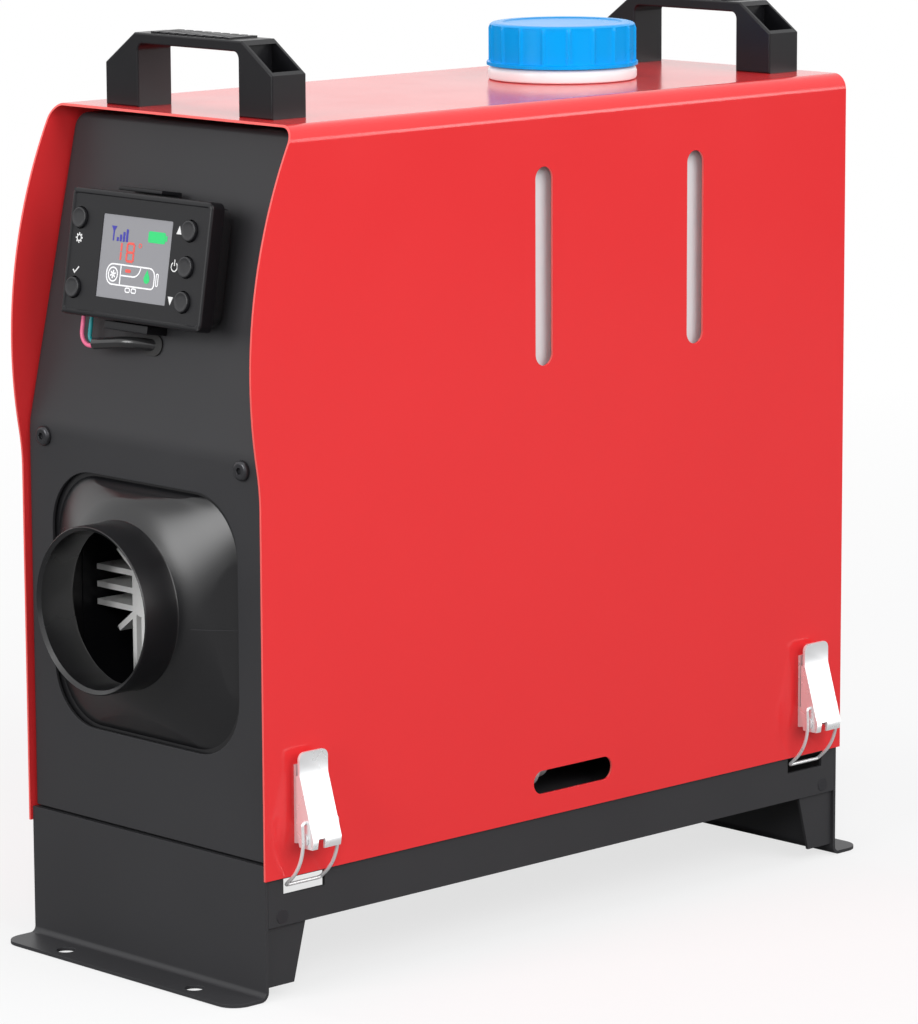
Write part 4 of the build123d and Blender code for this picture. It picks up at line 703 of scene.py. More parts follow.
class HeaterCover(bpy.types.Operator):
    """Folds the red cover, with its swelling front edge, slots and holes."""
    bl_idname = "heater.cover"
    bl_label = "Cover"

    bend_steps = 12
    swell_steps = 40
    # how far the raw sheet and its cutters run past the finished edge
    spare_length = 0.010
    spare_side = 0.005
    spare_edge = 0.001
    sight_places = (0.158, 0.249)
    sight_height = 0.083
    sight_middle = 0.284
    hand_length = 0.047
    hand_height = 0.010
    hand_place = 0.175
    hand_middle = 0.065
    neck_radius = 0.0286
    # a face whose normal points further forward than this is on a cut edge
    ahead = -0.5

    def folded_sheet(self, s):
        """The sheet seen from the front: two sides and a top with its two bends."""
        half, top, bottom = cover_high.x, cover_high.z, cover_low.z
        bend, inside, steps = s.cover_bend, s.cover_bend - s.sheet, self.bend_steps
        outline = [Vector((-half, bottom))]
        outline += arc((-half + bend, top - bend), bend, 180, 90, steps)
        outline += arc((half - bend, top - bend), bend, 90, 0, steps)
        outline += [Vector((half, bottom)), Vector((half - s.sheet, bottom))]
        outline += arc((half - bend, top - bend), inside, 0, 90, steps)
        outline += arc((-half + bend, top - bend), inside, 90, 180, steps)
        return outline + [Vector((-half + s.sheet, bottom))]

    def side_outline(self, s):
        """The cover seen from the side, with the swell of its front edge."""
        top, bottom, spare = cover_high.z, cover_low.z, self.spare_edge
        centre = Vector((FRONT - s.bulge_reach + s.bulge_radius, s.bulge_height))
        away = centre.x - FRONT + s.bulge_blend
        reach = s.bulge_radius + s.bulge_blend
        drop = math.sqrt(reach ** 2 - away ** 2)
        lean = math.degrees(math.asin(drop / reach))
        high = math.degrees(math.asin((top + spare - centre.y) / s.bulge_radius))
        outline = arc(centre, s.bulge_radius, 180 - high, 180 + lean, self.swell_steps)
        outline += arc((FRONT - s.bulge_blend, centre.y - drop), s.bulge_blend, lean, 0,
                       self.bend_steps)[1:]
        return outline + [Vector((FRONT, bottom - spare)), Vector((REAR + spare, bottom - spare)),
                          Vector((REAR + spare, top + spare))]

    def execute(self, context):
        s = sizes()
        half, steps = cover_high.x, self.bend_steps
        cover = prism("cover_sheet", facing_front(self.folded_sheet(s), REAR),
                      (0, FRONT - REAR - self.spare_length, 0))
        side = facing_side(self.side_outline(s), -half - self.spare_side)
        cut(cover, prism("side_outline", side, (2 * half + 2 * self.spare_side, 0, 0)),
            "INTERSECT")
        for along in self.sight_places:
            window = box_outline(s.slot_width, self.sight_height, s.slot_width / 2 - FLAT, steps,
                                 (FRONT + along, self.sight_middle))
            cut(cover, prism("window", facing_side(window, -0.1), (0.2, 0, 0)))
        hand = box_outline(self.hand_length, self.hand_height, self.hand_height / 2 - FLAT, steps,
                           (FRONT + self.hand_place, self.hand_middle))
        cut(cover, prism("hand_slot", facing_side(hand, 0), (0.1, 0, 0)))
        neck = ((ring_low + ring_high) / 2).xy
        cut(cover, drum("neck_hole", (neck.x, neck.y, cover_high.z), self.neck_radius, 0.02,
                        "Z", 96))
        soften(cover, s.edge_break, 2, 40.0)
        finish(cover, finishes["cover"], stands_for=["red_cover"], slot="red_powder_coat")
        # The faces of the cut front edges get the paler pink finish, a painted highlight in place
        # of the light that the edge catches.
        cover.data.materials.append(finishes["painted_edge_highlight"])
        pick(cover, "FACE", lambda face: face.normal.y < self.ahead)
        cover.active_material_index = 1
        bpy.ops.object.material_slot_assign()
        close_edit()
        return {"FINISHED"}


class HeaterPanels(bpy.types.Operator):
    """Bends the front panel and dresses the rear panel, tray and feet."""
    bl_idname = "heater.panels"
    bl_label = "Panels and base"

    fold = 0.012
    corner_bend = 0.0062
    rim_bend = 0.0022
    opening_wide = 0.116
    opening_high = 0.1075
    opening_corner = 0.025
    opening_middle = 0.1495
    # the dark gap under the front panel, cut into the tray's edge
    gap_depth = 0.0035
    gap_drop = 0.0010

    def front_outline(self, s):
        """The front panel seen from the side, as thick as its folds are deep."""
        top, bottom = panel_high.z, panel_low.z
        run = (top - KNEE) * math.tan(LEAN)
        return rounded([(PANEL_FACE, bottom, 0.0), (PANEL_FACE, KNEE, s.panel_bend * 2),
                        (PANEL_FACE + run, top, 0.0),
                        (PANEL_FACE + run + self.fold, top, 0.0),
                        (PANEL_FACE + self.fold, KNEE, 0.0),
                        (PANEL_FACE + self.fold, bottom, 0.0)], 10)

    def front_rim(self, edge):
        """Whether the edge runs between the front face and a folded side or top."""
        if len(edge.link_faces) != 2:
            return False
        ahead = [face for face in edge.link_faces if face.normal.y < -0.8]
        return len(ahead) == 1 and abs(middle(edge).z - panel_low.z) > 0.003

    def front_sheet(self, s):
        """The front panel: bent, folded back at its rim and open for the outlet."""
        half, top = panel_high.x, panel_high.z
        panel = prism("front_sheet", facing_side(self.front_outline(s), -half), (2 * half, 0, 0))
        pick(panel, "EDGE", lambda e: middle(e).z > top - 1e-4
             and abs(abs(middle(e).x) - half) < NEAR)
        bpy.ops.mesh.bevel(offset=self.corner_bend, segments=6, affect="EDGES")
        close_edit()
        pick(panel, "EDGE", self.front_rim)
        bpy.ops.mesh.bevel(offset=self.rim_bend, segments=4, affect="EDGES")
        close_edit()
        pick(panel, "FACE", lambda f: f.normal.y > 0.8)
        bpy.ops.mesh.delete(type="FACE")
        close_edit()
        thicken(panel, s.panel_sheet)
        opening = box_outline(self.opening_wide, self.opening_high, self.opening_corner, 14,
                              (0.0, self.opening_middle))
        cut(panel, prism("opening", facing_front(opening, PANEL_FACE + 0.006), (0, -0.012, 0)))
        soften(panel, s.edge_break, 2, 50.0)
        finish(panel, finishes["panel"], stands_for=["front_panel"], slot="black_powder_coat")

    def execute(self, context):
        s = sizes()
        self.front_sheet(s)
        bottom = panel_low.z
        for node, name in (("rear_panel", "rear_sheet"), ("base_tray", "tray_sheet"),
                           ("front_foot", "front_foot_sheet"), ("rear_foot", "rear_foot_sheet")):
            sheet = recast(node, name, s.edge_break, 2, 40.0)
            if node == "base_tray":
                cut(sheet, slab("gap_shadow", (-0.1, PANEL_FACE - 0.001, bottom - self.gap_drop),
                                (0.1, PANEL_FACE + self.gap_depth, bottom + 0.001)))
            finish(sheet, finishes["panel"], stands_for=[node], slot="black_powder_coat")
        for node, name in (("panel_screws", "button_head_screws"), ("foot_rivets", "domed_rivets")):
            dress(node, name, "screw", "black_screw", 0.0002, 2, 35.0)
        return {"FINISHED"}


class HeaterHandles(bpy.types.Operator):
    """Moulds the two carry handles."""
    bl_idname = "heater.handles"
    bl_label = "Handles"

    edge_share = 0.8

    def execute(self, context):
        for node, name in (("front_handle", "front_grip"), ("rear_handle", "rear_grip")):
            dress(node, name, "moulding", "black_plastic",
                  sizes().moulding_edge * self.edge_share, 3, 25.0)
        return {"FINISHED"}


class HeaterCap(bpy.types.Operator):
    """Moulds the fluted cap and the ring under it."""
    bl_idname = "heater.cap"
    bl_label = "Cap and ring"

    skirt = 0.0322
    cap_bore = 0.0285
    cap_roof = 0.0024
    ring_bore = 0.0281
    ring_steps = 128
    # points round the cap for each rib, how deep its flank lies at each point from the rib's
    # middle outwards, and how deep the skirt lies between the ribs
    rib_steps = 24
    flank = (0.0, 0.0001, 0.0006)
    hollow = 0.0009

    def execute(self, context):
        self.mould_cap(sizes().cap_ribs)
        self.mould_ring()
        return {"FINISHED"}

    def mould_cap(self, ribs):
        """The cap: its rim, its ribbed skirt, its rounded shoulder and its bore."""
        centre = (cap_low + cap_high) / 2
        bottom, tall = cap_low.z, cap_high.z - cap_low.z
        rim, skirt = cap_high.x - centre.x, self.skirt
        cap = self.turned("ribbed_cap", centre, bottom, ribs * self.rib_steps,
                          ((0.0, rim), (0.0014, rim), (0.0018, skirt), (tall - 0.0026, skirt),
                           (tall - 0.0009, skirt - 0.0007), (tall - 0.0003, skirt - 0.0014),
                           (tall, skirt - 0.0026), (tall, skirt - 0.0060),
                           (tall - 0.0005, skirt - 0.0066)))
        bpy.ops.mesh.edge_face_add()
        bpy.ops.mesh.inset(thickness=0.004)
        bpy.ops.mesh.inset(thickness=0.008)
        bpy.ops.mesh.poke()
        close_edit()
        self.sink(cap, centre, bottom, tall, ribs)
        pick(cap, "EDGE", lambda e: e.is_boundary)
        extrude((0, 0, 0))
        resize((self.cap_bore / rim, self.cap_bore / rim, 1.0), (centre.x, centre.y, bottom))
        extrude((0, 0, tall - self.cap_roof))
        bpy.ops.mesh.edge_face_add()
        close_edit()
        finish(cap, finishes["cap"], "cap", ["fuel_cap"], "blue_plastic", 40.0)

    def mould_ring(self):
        """The white ring round the neck."""
        centre = (ring_low + ring_high) / 2
        tall, reach = ring_high.z - ring_low.z, ring_high.x - centre.x
        ring = self.turned("neck_ring", centre, ring_low.z, self.ring_steps,
                           ((0.0, reach - 0.0012), (0.0005, reach - 0.0003), (0.0014, reach),
                            (tall - 0.0022, reach), (tall - 0.0010, reach - 0.0005),
                            (tall - 0.0002, reach - 0.0016), (tall, reach - 0.0026),
                            (tall, self.ring_bore), (0.0, self.ring_bore)))
        close_edit()
        pick(ring, "EDGE", lambda e: e.is_boundary)
        bpy.ops.mesh.bridge_edge_loops()
        close_edit()
        finish(ring, finishes["ring"], "case", ["tank_collar"], "white_plastic", 40.0)

    def turned(self, name, centre, bottom, steps, levels):
        """A round wall drawn ring by ring from (height, radius) levels; stays in edit mode."""
        height, radius = levels[0]
        deselect()
        bpy.ops.mesh.primitive_circle_add(vertices=steps, radius=radius,
                                          location=(centre.x, centre.y, bottom + height))
        piece = named(name)
        apply_place()
        bpy.ops.object.mode_set(mode="EDIT")
        bpy.ops.mesh.select_mode(type="EDGE")
        bpy.ops.mesh.select_all(action="SELECT")
        for level, reach in levels[1:]:
            extrude((0, 0, level - height))
            resize((reach / radius, reach / radius, 1.0), (centre.x, centre.y, bottom + level))
            height, radius = level, reach
        return piece

    def sink(self, cap, centre, bottom, tall, ribs):
        """Sinks the skirt between its narrow ribs."""
        steps = self.rib_steps
        low, high = bottom + 0.0016, bottom + tall - 0.0020
        for vert in cap.data.vertices:
            flat = Vector((vert.co.x - centre.x, vert.co.y - centre.y))
            if low < vert.co.z < high and flat.length > self.skirt - 0.0004:
                turn = math.atan2(flat.y, flat.x) / (2 * math.pi) % 1.0
                place = round(turn * ribs * steps) % steps
                place = min(place, steps - place)
                depth = self.flank[place] if place < len(self.flank) else self.hollow
                shrink = (flat.length - depth) / flat.length
                vert.co.x = centre.x + flat.x * shrink
                vert.co.y = centre.y + flat.y * shrink


class HeaterOutlet(bpy.types.Operator):
    """Draws the outlet bell from its rim behind the panel to the round collar."""
    bl_idname = "heater.outlet"
    bl_label = "Outlet"

    mouth = FRONT + 0.004
    wide = housing_high.x * 2
    high = housing_high.z - housing_low.z
    housing_axis = (housing_high.z + housing_low.z) / 2
    housing_corner = 0.026
    corner_steps = 16

    collar_axis = 0.154
    collar_radius = 0.0347
    tip = collar_low.y
    # where the bell ends and the collar starts
    crease = tip + 0.0175
    # the round ring that the square mouth is bridged to
    ring_radius = 0.0430
    ring_place = crease + 0.0030
    # from that ring on, where each further ring stands and its radius
    rings = ((crease + 0.0014, 0.0400), (crease + 0.0003, 0.0370),
             (crease - 0.0003, collar_radius + 0.0004), (crease - 0.0010, collar_radius),
             (tip + 0.0006, collar_radius), (tip, collar_radius - 0.0005))

    # the parting line's width as a share of the bell's, and half its thickness
    parting_swell = 1.004
    parting_half = 0.00015
    rim_thick = 0.0015

    def execute(self, context):
        s = sizes()
        bell = self.draw_bell()
        thicken(bell, s.collar_wall)
        parting = copy_of(bell, "bell_parting",
                          Matrix.Diagonal((self.parting_swell, 1.0, 1.0, 1.0)))
        layer = slab("parting_layer",
                     (-0.07, self.crease + 0.0015, self.housing_axis - self.parting_half),
                     (0.07, self.mouth, self.housing_axis + self.parting_half))
        cut(parting, layer, "INTERSECT")
        finish(parting, finishes["panel"], angle=40.0)
        finish(bell, finishes["bell"], stands_for=["outlet_adaptor"], slot="black_plastic",
               angle=40.0)
        rim = prism("bell_rim", facing_front(self.section(s.bell_rim, 12), self.mouth),
                    (0, self.rim_thick, 0))
        cut(rim, prism("rim_hole", facing_front(self.section(-0.001, 12), self.mouth - 0.001),
                       (0, 0.0040, 0)))
        finish(rim, finishes["bell"], stands_for=["outlet_adaptor"], slot="black_plastic")
        dress("heat_exchanger", "cast_exchanger", "casting", "cast_aluminium", 0.0005)
        return {"FINISHED"}

    def section(self, spread, steps):
        """The housing's rounded square, or one spread round it."""
        return box_outline(self.wide + 2 * spread, self.high + 2 * spread,
                           self.housing_corner + spread, steps, (0.0, self.housing_axis))

    def draw_bell(self):
        """The bell's outer face, from the housing's square to the collar's round tip."""
        square = draw("bell_mouth",
                      facing_front(self.section(0.0, self.corner_steps), self.mouth))
        deselect()
        bpy.ops.mesh.primitive_circle_add(
            vertices=4 * (self.corner_steps + 1), radius=self.ring_radius, fill_type="NGON",
            location=(0, self.ring_place, self.collar_axis), rotation=(math.pi / 2, 0, 0))
        ring = named("bell_ring")
        apply_place()
        bell = join("outlet_bell", [square, ring])
        pick(bell, "FACE", every)
        bpy.ops.mesh.delete(type="ONLY_FACE")
        close_edit()
        pick(bell, "EDGE", every)
        bpy.ops.mesh.bridge_edge_loops(number_cuts=12, interpolation="SURFACE", smoothness=0.7,
                                       profile_shape_factor=0.0)
        close_edit()
        pick(bell, "EDGE", lambda e: e.is_boundary and middle(e).y > self.mouth - NEAR)
        extrude((0, collar_high.y - self.mouth, 0))
        close_edit()
        pick(bell, "EDGE", lambda e: e.is_boundary and middle(e).y < self.mouth - 0.005)
        place, radius = self.ring_place, self.ring_radius
        for y, reach in self.rings:
            extrude((0, y - place, 0))
            resize((reach / radius, 1.0, reach / radius), (0, y, self.collar_axis))
            place, radius = y, reach
        close_edit()
        outward(bell)
        self.face_out(bell)
        return bell

    def face_out(self, bell):
        """Turns the open bell over where its faces point to its axis."""
        pick(bell, "FACE", every)
        centre = Vector((0, self.mouth, self.collar_axis))
        mesh = bmesh.from_edit_mesh(bell.data)
        out = sum(1 for face in mesh.faces if face.normal.dot(middle(face) - centre) > 0)
        if out * 2 < len(mesh.faces):
            bpy.ops.mesh.flip_normals()
        close_edit()


class HeaterController(bpy.types.Operator):
    """Moulds the controller's shells, its screen, its marks and its buttons."""
    bl_idname = "heater.controller"
    bl_label = "Controller"

    # how far up the sloping panel its middle stands, and the angle it is tipped up by
    rise = 0.0721
    tilt = 3.56
    width = 0.087
    half_height = 0.026
    back_wide, back_high, back_corner = 0.085, 0.050, 0.005

    # heights over the panel: of its rim, of the seam under the bezel, of its back shell, of the
    # screen and of the marks, which lie on the screen or on the face sunk into the rim
    face = 0.0166
    bezel_thick = 0.0066
    seam = face - bezel_thick
    back_gap = 0.0022
    glass = face - 0.0008
    lit_height = glass + 0.00002
    sunk = 0.0005
    print_height = face - sunk + 0.00001

    screen_centre = (-0.0012, -0.0004)
    round_steps = 48
    well_radius = 0.0046
    button_radius = 0.0042
    buttons = {"button_up": (0.0312, 0.0136), "button_power": (0.0312, -0.0009),
               "button_down": (0.0312, -0.0149), "button_settings": (-0.0369, 0.0136),
               "button_ok": (-0.0369, -0.0149)}
    power_centre = (0.0239, -0.0013)
    wheel_centre = (-0.0366, 0.0054)

    # the screen's two digits, by their lit strokes, and where each stroke lies
    digits = {"one": (-0.0120, "bc"), "eight": (-0.0042, "abcdefg")}
    digit_wide, digit_high, digit_middle = 0.0042, 0.0072, 0.0020
    stroke, stroke_gap = 0.0010, 0.0003
    strokes = {"a": (0, 0.5), "b": (0.5, 0.25), "c": (0.5, -0.25), "d": (0, -0.5),
               "e": (-0.5, -0.25), "f": (-0.5, 0.25), "g": (0, 0)}

    # the diagram's fan, and the bend of the line that its air follows
    fan_centre = (-0.0135, -0.0075)
    bend_centre = (-0.0010, -0.0033)

    def execute(self, context):
        self.mould_bezel(sizes())
        self.mould_back()
        for node, (x, y) in self.buttons.items():
            self.mould_button(node, x, y)
        pane = box_outline(0.0430, 0.0338, 0.0004, 2, self.screen_centre)
        self.set_down(prism("screen_pane", facing_up(pane, self.glass - 0.003), (0, 0, 0.003)),
                      finishes["screen"], stands_for=["display_window"], slot="screen_glass")
        self.show_signal()
        self.show_number()
        self.show_diagram()
        self.print_marks()
        return {"FINISHED"}

    def place(self):
        """From the controller's own frame, tipped off the sloping panel, to the heater's."""
        up = KNEE + self.rise
        y = PANEL_FACE + self.rise * math.tan(LEAN)
        panel = Matrix(((1, 0, 0, 0), (0, math.sin(LEAN), -math.cos(LEAN), y),
                        (0, math.cos(LEAN), math.sin(LEAN), up), (0, 0, 0, 1)))
        edge = Matrix.Translation((0, self.half_height, 0))
        tip = Matrix.Rotation(math.radians(self.tilt), 4, "X")
        return panel @ edge.inverted() @ tip @ edge

    def set_down(self, piece, material, **options):
        """Moves a piece from the controller's own frame onto the panel and finishes it."""
        piece.data.transform(self.place())
        return finish(piece, material, **options)

    def mark(self, name, outline, material, low, hole=0.0, thick=0.00006):
        """A thin printed shape; with a hole width it is only the outline."""
        shape = draw(name, facing_up(outline, low))
        if hole:
            pick(shape, "FACE", every)
            bpy.ops.mesh.inset(thickness=hole)
            bpy.ops.mesh.delete(type="FACE")
            close_edit()
        push(shape, Vector((0, 0, thick)))
        return self.set_down(shape, finishes[material])

    def show(self, name, outline, material, hole=0.0):
        """A mark on the lit screen."""
        self.mark(name, outline, material, self.lit_height, hole)

    def ink(self, name, outline, hole=0.0):
        """A mark printed on the bezel."""
        self.mark(name, outline, "print", self.print_height, hole)

    def bar(self, name, x, y, wide, high, material, radius=0.0002):
        """A small rounded bar on the lit screen."""
        self.show(name, box_outline(wide, high, radius, 2, (x, y)), material)

    def mould_bezel(self, s):
        """The bezel, with its raised rim, its window and its wells."""
        face = self.face
        outline = box_outline(self.width, 2 * self.half_height, 0.003)
        bezel = prism("controller_rim", facing_up(outline, self.seam), (0, 0, self.bezel_thick))
        pick(bezel, "FACE", lambda f: f.normal.z > 0.9)
        bpy.ops.mesh.inset(thickness=s.bezel_rim)
        extrude((0, 0, -self.sunk))
        resize((0.988, 0.98, 1.0), (0, 0, face))
        close_edit()
        pick(bezel, "EDGE", lambda e: abs(middle(e).z - face) < NEAR
             and max(2 * abs(middle(e).x) / self.width,
                     abs(middle(e).y) / self.half_height) > 0.99)
        bpy.ops.mesh.bevel(offset=0.0012, segments=4, affect="EDGES")
        close_edit()
        window = box_outline(0.0432, 0.0340, 0.0006, 3, self.screen_centre)
        cut(bezel, prism("window", facing_up(window, face - 0.0012), (0, 0, 0.004)))
        for x, y in self.buttons.values():
            cut(bezel, drum("well", (x, y, face), self.well_radius, 0.0050, "Z",
                            self.round_steps))
        soften(bezel, 0.00022, 2, 40.0)
        self.set_down(bezel, finishes["moulding"], stands_for=["controller_bezel"],
                      slot="black_plastic")

    def mould_back(self):
        """The back shell, and the bracket with its clips."""
        outline = box_outline(self.back_wide, self.back_high, self.back_corner)
        back = prism("controller_shell", facing_up(outline, self.back_gap),
                     (0, 0, self.seam - self.back_gap))
        pick(back, "FACE", lambda f: f.normal.z < -0.9)
        resize((0.955, 0.93, 1.0), (0, 0, self.back_gap))
        close_edit()
        soften(back, 0.0012, 3, 30.0)
        self.set_down(back, finishes["gloss"], stands_for=["controller_back"], slot="black_gloss")
        dress("controller_bracket", "controller_clips", "moulding", "black_plastic", 0.0004, 2,
              35.0)

    def mould_button(self, node, x, y):
        """One round button with a dished top."""
        key = drum(node.replace("button", "key"), (x, y, self.face - 0.0012),
                   self.button_radius, 0.0042, "Z", self.round_steps)
        pick(key, "FACE", lambda f: f.normal.z > 0.9)
        bpy.ops.mesh.inset(thickness=0.0008)
        bpy.ops.mesh.inset(thickness=0.0014)
        bpy.ops.transform.translate(value=(0, 0, -0.00035))
        close_edit()
        soften(key, 0.0004, 3, 40.0)
        self.set_down(key, finishes["button"], body=node, stands_for=[node], slot="black_gloss")

    def show_signal(self):
        """Four bars with a mast, and a charge mark."""
        for index in range(4):
            high = 0.0016 + 0.0012 * index
            self.bar(f"signal_bar_{index}", -0.0128 + 0.0019 * index, 0.0060 + high / 2,
                     0.0013, high, "blue_mark")
        self.show("signal_mast", [Vector((-0.0172, 0.0120)), Vector((-0.0138, 0.0120)),
                                  Vector((-0.0151, 0.0100)), Vector((-0.0151, 0.0060)),
                                  Vector((-0.0159, 0.0060)), Vector((-0.0159, 0.0100))],
                  "blue_mark")
        self.bar("charge_body", 0.0112, 0.0093, 0.0105, 0.0046, "green_mark", 0.0008)
        self.bar("charge_tip", 0.0171, 0.0093, 0.0010, 0.0022, "green_mark")

    def show_number(self):
        """A number in strokes, with a degree ring."""
        wide, high = self.digit_wide, self.digit_high
        upright = (self.stroke, high / 2 - self.stroke_gap)
        flat = (wide - self.stroke_gap, self.stroke)
        for name, (x, lit_strokes) in self.digits.items():
            for letter in lit_strokes:
                across, up = self.strokes[letter]
                self.bar(f"digit_{name}_{letter}", x + across * wide,
                         self.digit_middle + up * high, *(upright if across else flat),
                         "red_mark")
        self.show("degree_ring", arc((0.0016, 0.0052), 0.0010, 0, 345, 16), "red_mark", 0.0004)

    def show_diagram(self):
        """A plain diagram of a heater: its body, fan, air, outlet, ports, drop and heat."""
        body = rounded([(-0.0178, -0.0119, 0.0040), (0.0125, -0.0119, 0.0022),
                        (0.0125, -0.0030, 0.0036), (-0.0178, -0.0030, 0.0040)], 6)
        self.show("diagram_body", body, "white_mark", 0.0006)
        self.show("diagram_fan", arc(self.fan_centre, 0.0031, 0, 345, 24), "white_mark", 0.0006)
        hub = Vector(self.fan_centre)
        for index in range(3):
            turn = math.radians(60 * index + 20)
            tip = Vector((math.cos(turn), math.sin(turn)))
            side = Vector((-tip.y, tip.x)) * 0.00035
            blade = [hub - tip * 0.0017 - side, hub + tip * 0.0017 - side,
                     hub + tip * 0.0017 + side, hub - tip * 0.0017 + side]
            self.show(f"diagram_blade_{index}", blade, "white_mark")
        divider = [Vector((-0.0092, -0.0116)), Vector((-0.0086, -0.0116)),
                   Vector((-0.0086, -0.0033)), Vector((-0.0092, -0.0033))]
        self.show("diagram_divider", divider, "white_mark")
        flow = [Vector((-0.0089, -0.0079)), Vector((self.bend_centre[0], -0.0079))]
        flow += arc(self.bend_centre, 0.0046, -90, 0, 8)[1:]
        flow += arc(self.bend_centre, 0.0040, 0, -90, 8)
        flow += [Vector((-0.0089, -0.0073))]
        self.show("diagram_flow", flow, "white_mark")
        outlet = box_outline(0.0017, 0.0054, 0.0007, 3, (0.0139, -0.0076))
        self.show("diagram_outlet", outlet, "white_mark", 0.0005)
        for index, x in enumerate((-0.0036, 0.0002)):
            port = box_outline(0.0032, 0.0022, 0.0009, 4, (x, -0.0132))
            self.show(f"diagram_port_{index}", port, "white_mark", 0.0005)
        drop = arc((0.0075, -0.0078), 0.0018, -200, 20, 10) + [Vector((0.0075, -0.0040))]
        self.show("diagram_drop", drop, "green_mark")
        self.bar("diagram_heat", -0.0044, -0.0055, 0.0034, 0.0014, "red_mark", 0.0005)

    def print_marks(self):
        """The white marks beside the buttons."""
        power = arc(self.power_centre, 0.0021, 125, 415, 24)
        power += arc(self.power_centre, 0.0016, 415, 125, 24)
        self.ink("mark_up", [Vector((0.0231, 0.0118)), Vector((0.0263, 0.0118)),
                             Vector((0.0247, 0.0152))])
        self.ink("mark_down", [Vector((0.0219, -0.0134)), Vector((0.0235, -0.0168)),
                               Vector((0.0251, -0.0134))])
        self.ink("mark_power_ring", power)
        self.ink("mark_power_bar", box_outline(0.0005, 0.0026, 0.0002, 2, (0.0239, 0.0003)))
        self.ink("mark_wheel", arc(self.wheel_centre, 0.0015, 0, 350, 24), 0.0005)
        for index, tooth in enumerate(arc(self.wheel_centre, 0.0018, 0, 315, 7)):
            self.ink(f"mark_tooth_{index}", arc(tooth, 0.0004, 0, 315, 7))
        self.ink("mark_tick", [Vector((-0.0387, -0.0078)), Vector((-0.0383, -0.0074)),
                               Vector((-0.0373, -0.0084)), Vector((-0.0350, -0.0061)),
                               Vector((-0.0346, -0.0065)), Vector((-0.0373, -0.0092))])


class HeaterLead(bpy.types.Operator):
    """Lays the controller's sheathed lead and its two wires."""
    bl_idname = "heater.lead"
    bl_label = "Controller lead"

    def execute(self, context):
        dress("controller_lead", "lead_sheath", "sheath", "rubber", angle=60.0)
        pair = recast("lead_wires", "pink_wire", 0.0)
        pick(pair, "FACE", every)
        bpy.ops.mesh.separate(type="LOOSE")
        close_edit()
        wires = [piece for piece in context.selected_objects if piece.type == "MESH"]
        wires.sort(key=lambda piece: min(corner[0] for corner in piece.bound_box))
        for wire, name in zip(wires, ("pink_wire", "teal_wire")):
            wire.name = name
            finish(wire, finishes[name], stands_for=["lead_wires"], slot="wire_pink_teal",
                   angle=60.0)
        dress("cable_grommets", "rubber_rings", "rubber", "rubber", 0.0003, 2, 40.0)
        return {"FINISHED"}


class HeaterLatches(bpy.types.Operator):
    """Folds the latch levers, their brackets and the wire bails."""
    bl_idname = "heater.latches"
    bl_label = "Latches"

    def execute(self, context):
        for side in ("right", "left"):
            for end in ("front", "rear"):
                lever, bail = f"lever_{side}_{end}", f"bail_{side}_{end}"
                dress(f"latch_{lever}", f"{lever}_plate", "zinc", "zinc_plate", 0.0003, 3,
                      body=lever)
                dress(f"latch_{bail}", f"{bail}_wire", "zinc", "zinc_plate", body=bail,
                      angle=60.0)
        for node, name in (("latch_plates", "latch_brackets"), ("latch_rivets", "bracket_rivets")):
            dress(node, name, "zinc", "zinc_plate", 0.00025, 2, 35.0)
        return {"FINISHED"}


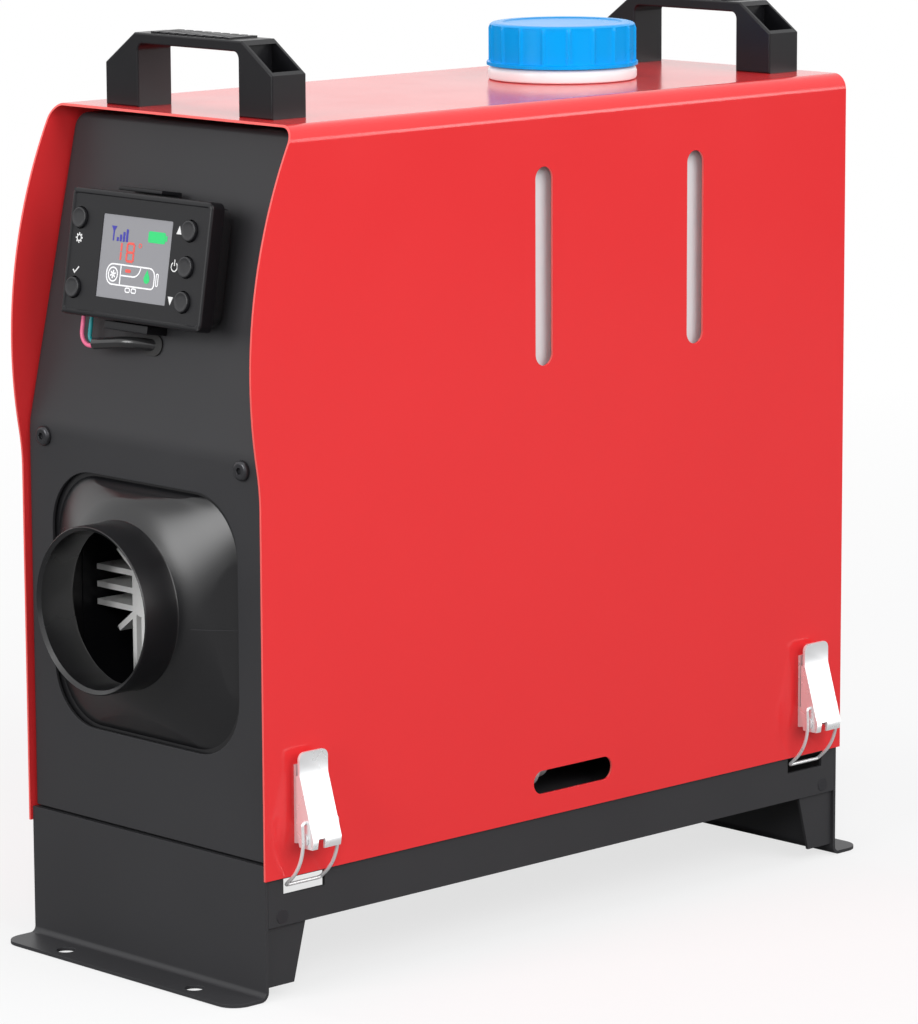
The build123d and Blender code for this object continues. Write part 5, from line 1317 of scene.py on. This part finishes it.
class HeaterTank(bpy.types.Operator):
    """Dresses the tank, the heater's housing and everything under the cover."""
    bl_idname = "heater.inside"
    bl_label = "Tank and inside"

    # nodes that are shown as they are, by their finish
    plain = {
        "panel": ["tank_shelf"],
        "moulding": ["heater_lower_shell", "heater_upper_shell"],
        "button": ["air_fan"],
        "casting": ["blower_motor", "combustion_fan"],
        "steel": ["exhaust_stub", "intake_stub", "motor_shaft"],
        "zinc": ["heater_nuts", "handle_screws", "fuel_pump", "fuel_outlet"],
        "stained": ["combustion_chamber", "glow_plug"],
        "board": ["control_board"],
        "gasket": ["heater_gasket"],
        "seal": ["cap_seal"],
        "rubber": ["pump_bracket"],
        "hose": ["fuel_hose", "fuel_line"],
        "filter": ["fuel_filter"]}

    def execute(self, context):
        dress("fuel_tank", "white_tank", "tank", "tank_plastic", 0.0008, 2, 40.0)
        dress("intake_guard", "intake_grille", "moulding", "black_plastic", 0.0003, 2, 40.0)
        for material, nodes in self.plain.items():
            for node in nodes:
                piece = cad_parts[node]
                piece.data.materials.clear()
                piece.data.materials.append(finishes[material])
        return {"FINISHED"}


class HEATER_PT_pieces(bpy.types.Panel):
    """Lists the heater's pieces, sizes and colours."""
    bl_label = "Diesel air heater"
    bl_space_type = "VIEW_3D"
    bl_region_type = "UI"
    bl_category = "Heater"

    def draw(self, context):
        for step in STEPS:
            self.layout.operator(step.bl_idname)
        for group in (context.scene.heater_sizes, context.scene.heater_colours):
            column = self.layout.column()
            for name in group.__annotations__:
                column.prop(group, name)


STEPS = (HeaterStage, HeaterCover, HeaterPanels, HeaterHandles, HeaterCap, HeaterOutlet,
         HeaterController, HeaterLead, HeaterLatches, HeaterTank)
CLASSES = (HeaterSizes, HeaterColours, *STEPS, HEATER_PT_pieces)


def register():
    """Makes the classes known to Blender."""
    for item in CLASSES:
        bpy.utils.register_class(item)
    bpy.types.Scene.heater_sizes = PointerProperty(type=HeaterSizes)
    bpy.types.Scene.heater_colours = PointerProperty(type=HeaterColours)


def unregister():
    """Takes the classes away again."""
    del bpy.types.Scene.heater_colours
    del bpy.types.Scene.heater_sizes
    for item in reversed(CLASSES):
        bpy.utils.unregister_class(item)


def corners(box):
    """A box as two lists of numbers."""
    return [[float(value) for value in corner] for corner in box]


def main():
    """Builds every piece in order."""
    register()
    make_finishes()
    bpy.ops.heater.stage()
    bpy.ops.heater.cover()
    bpy.ops.heater.panels()
    bpy.ops.heater.handles()
    bpy.ops.heater.cap()
    bpy.ops.heater.outlet()
    bpy.ops.heater.controller()
    bpy.ops.heater.lead()
    bpy.ops.heater.latches()
    bpy.ops.heater.inside()


if __name__ == "__main__":
    main()
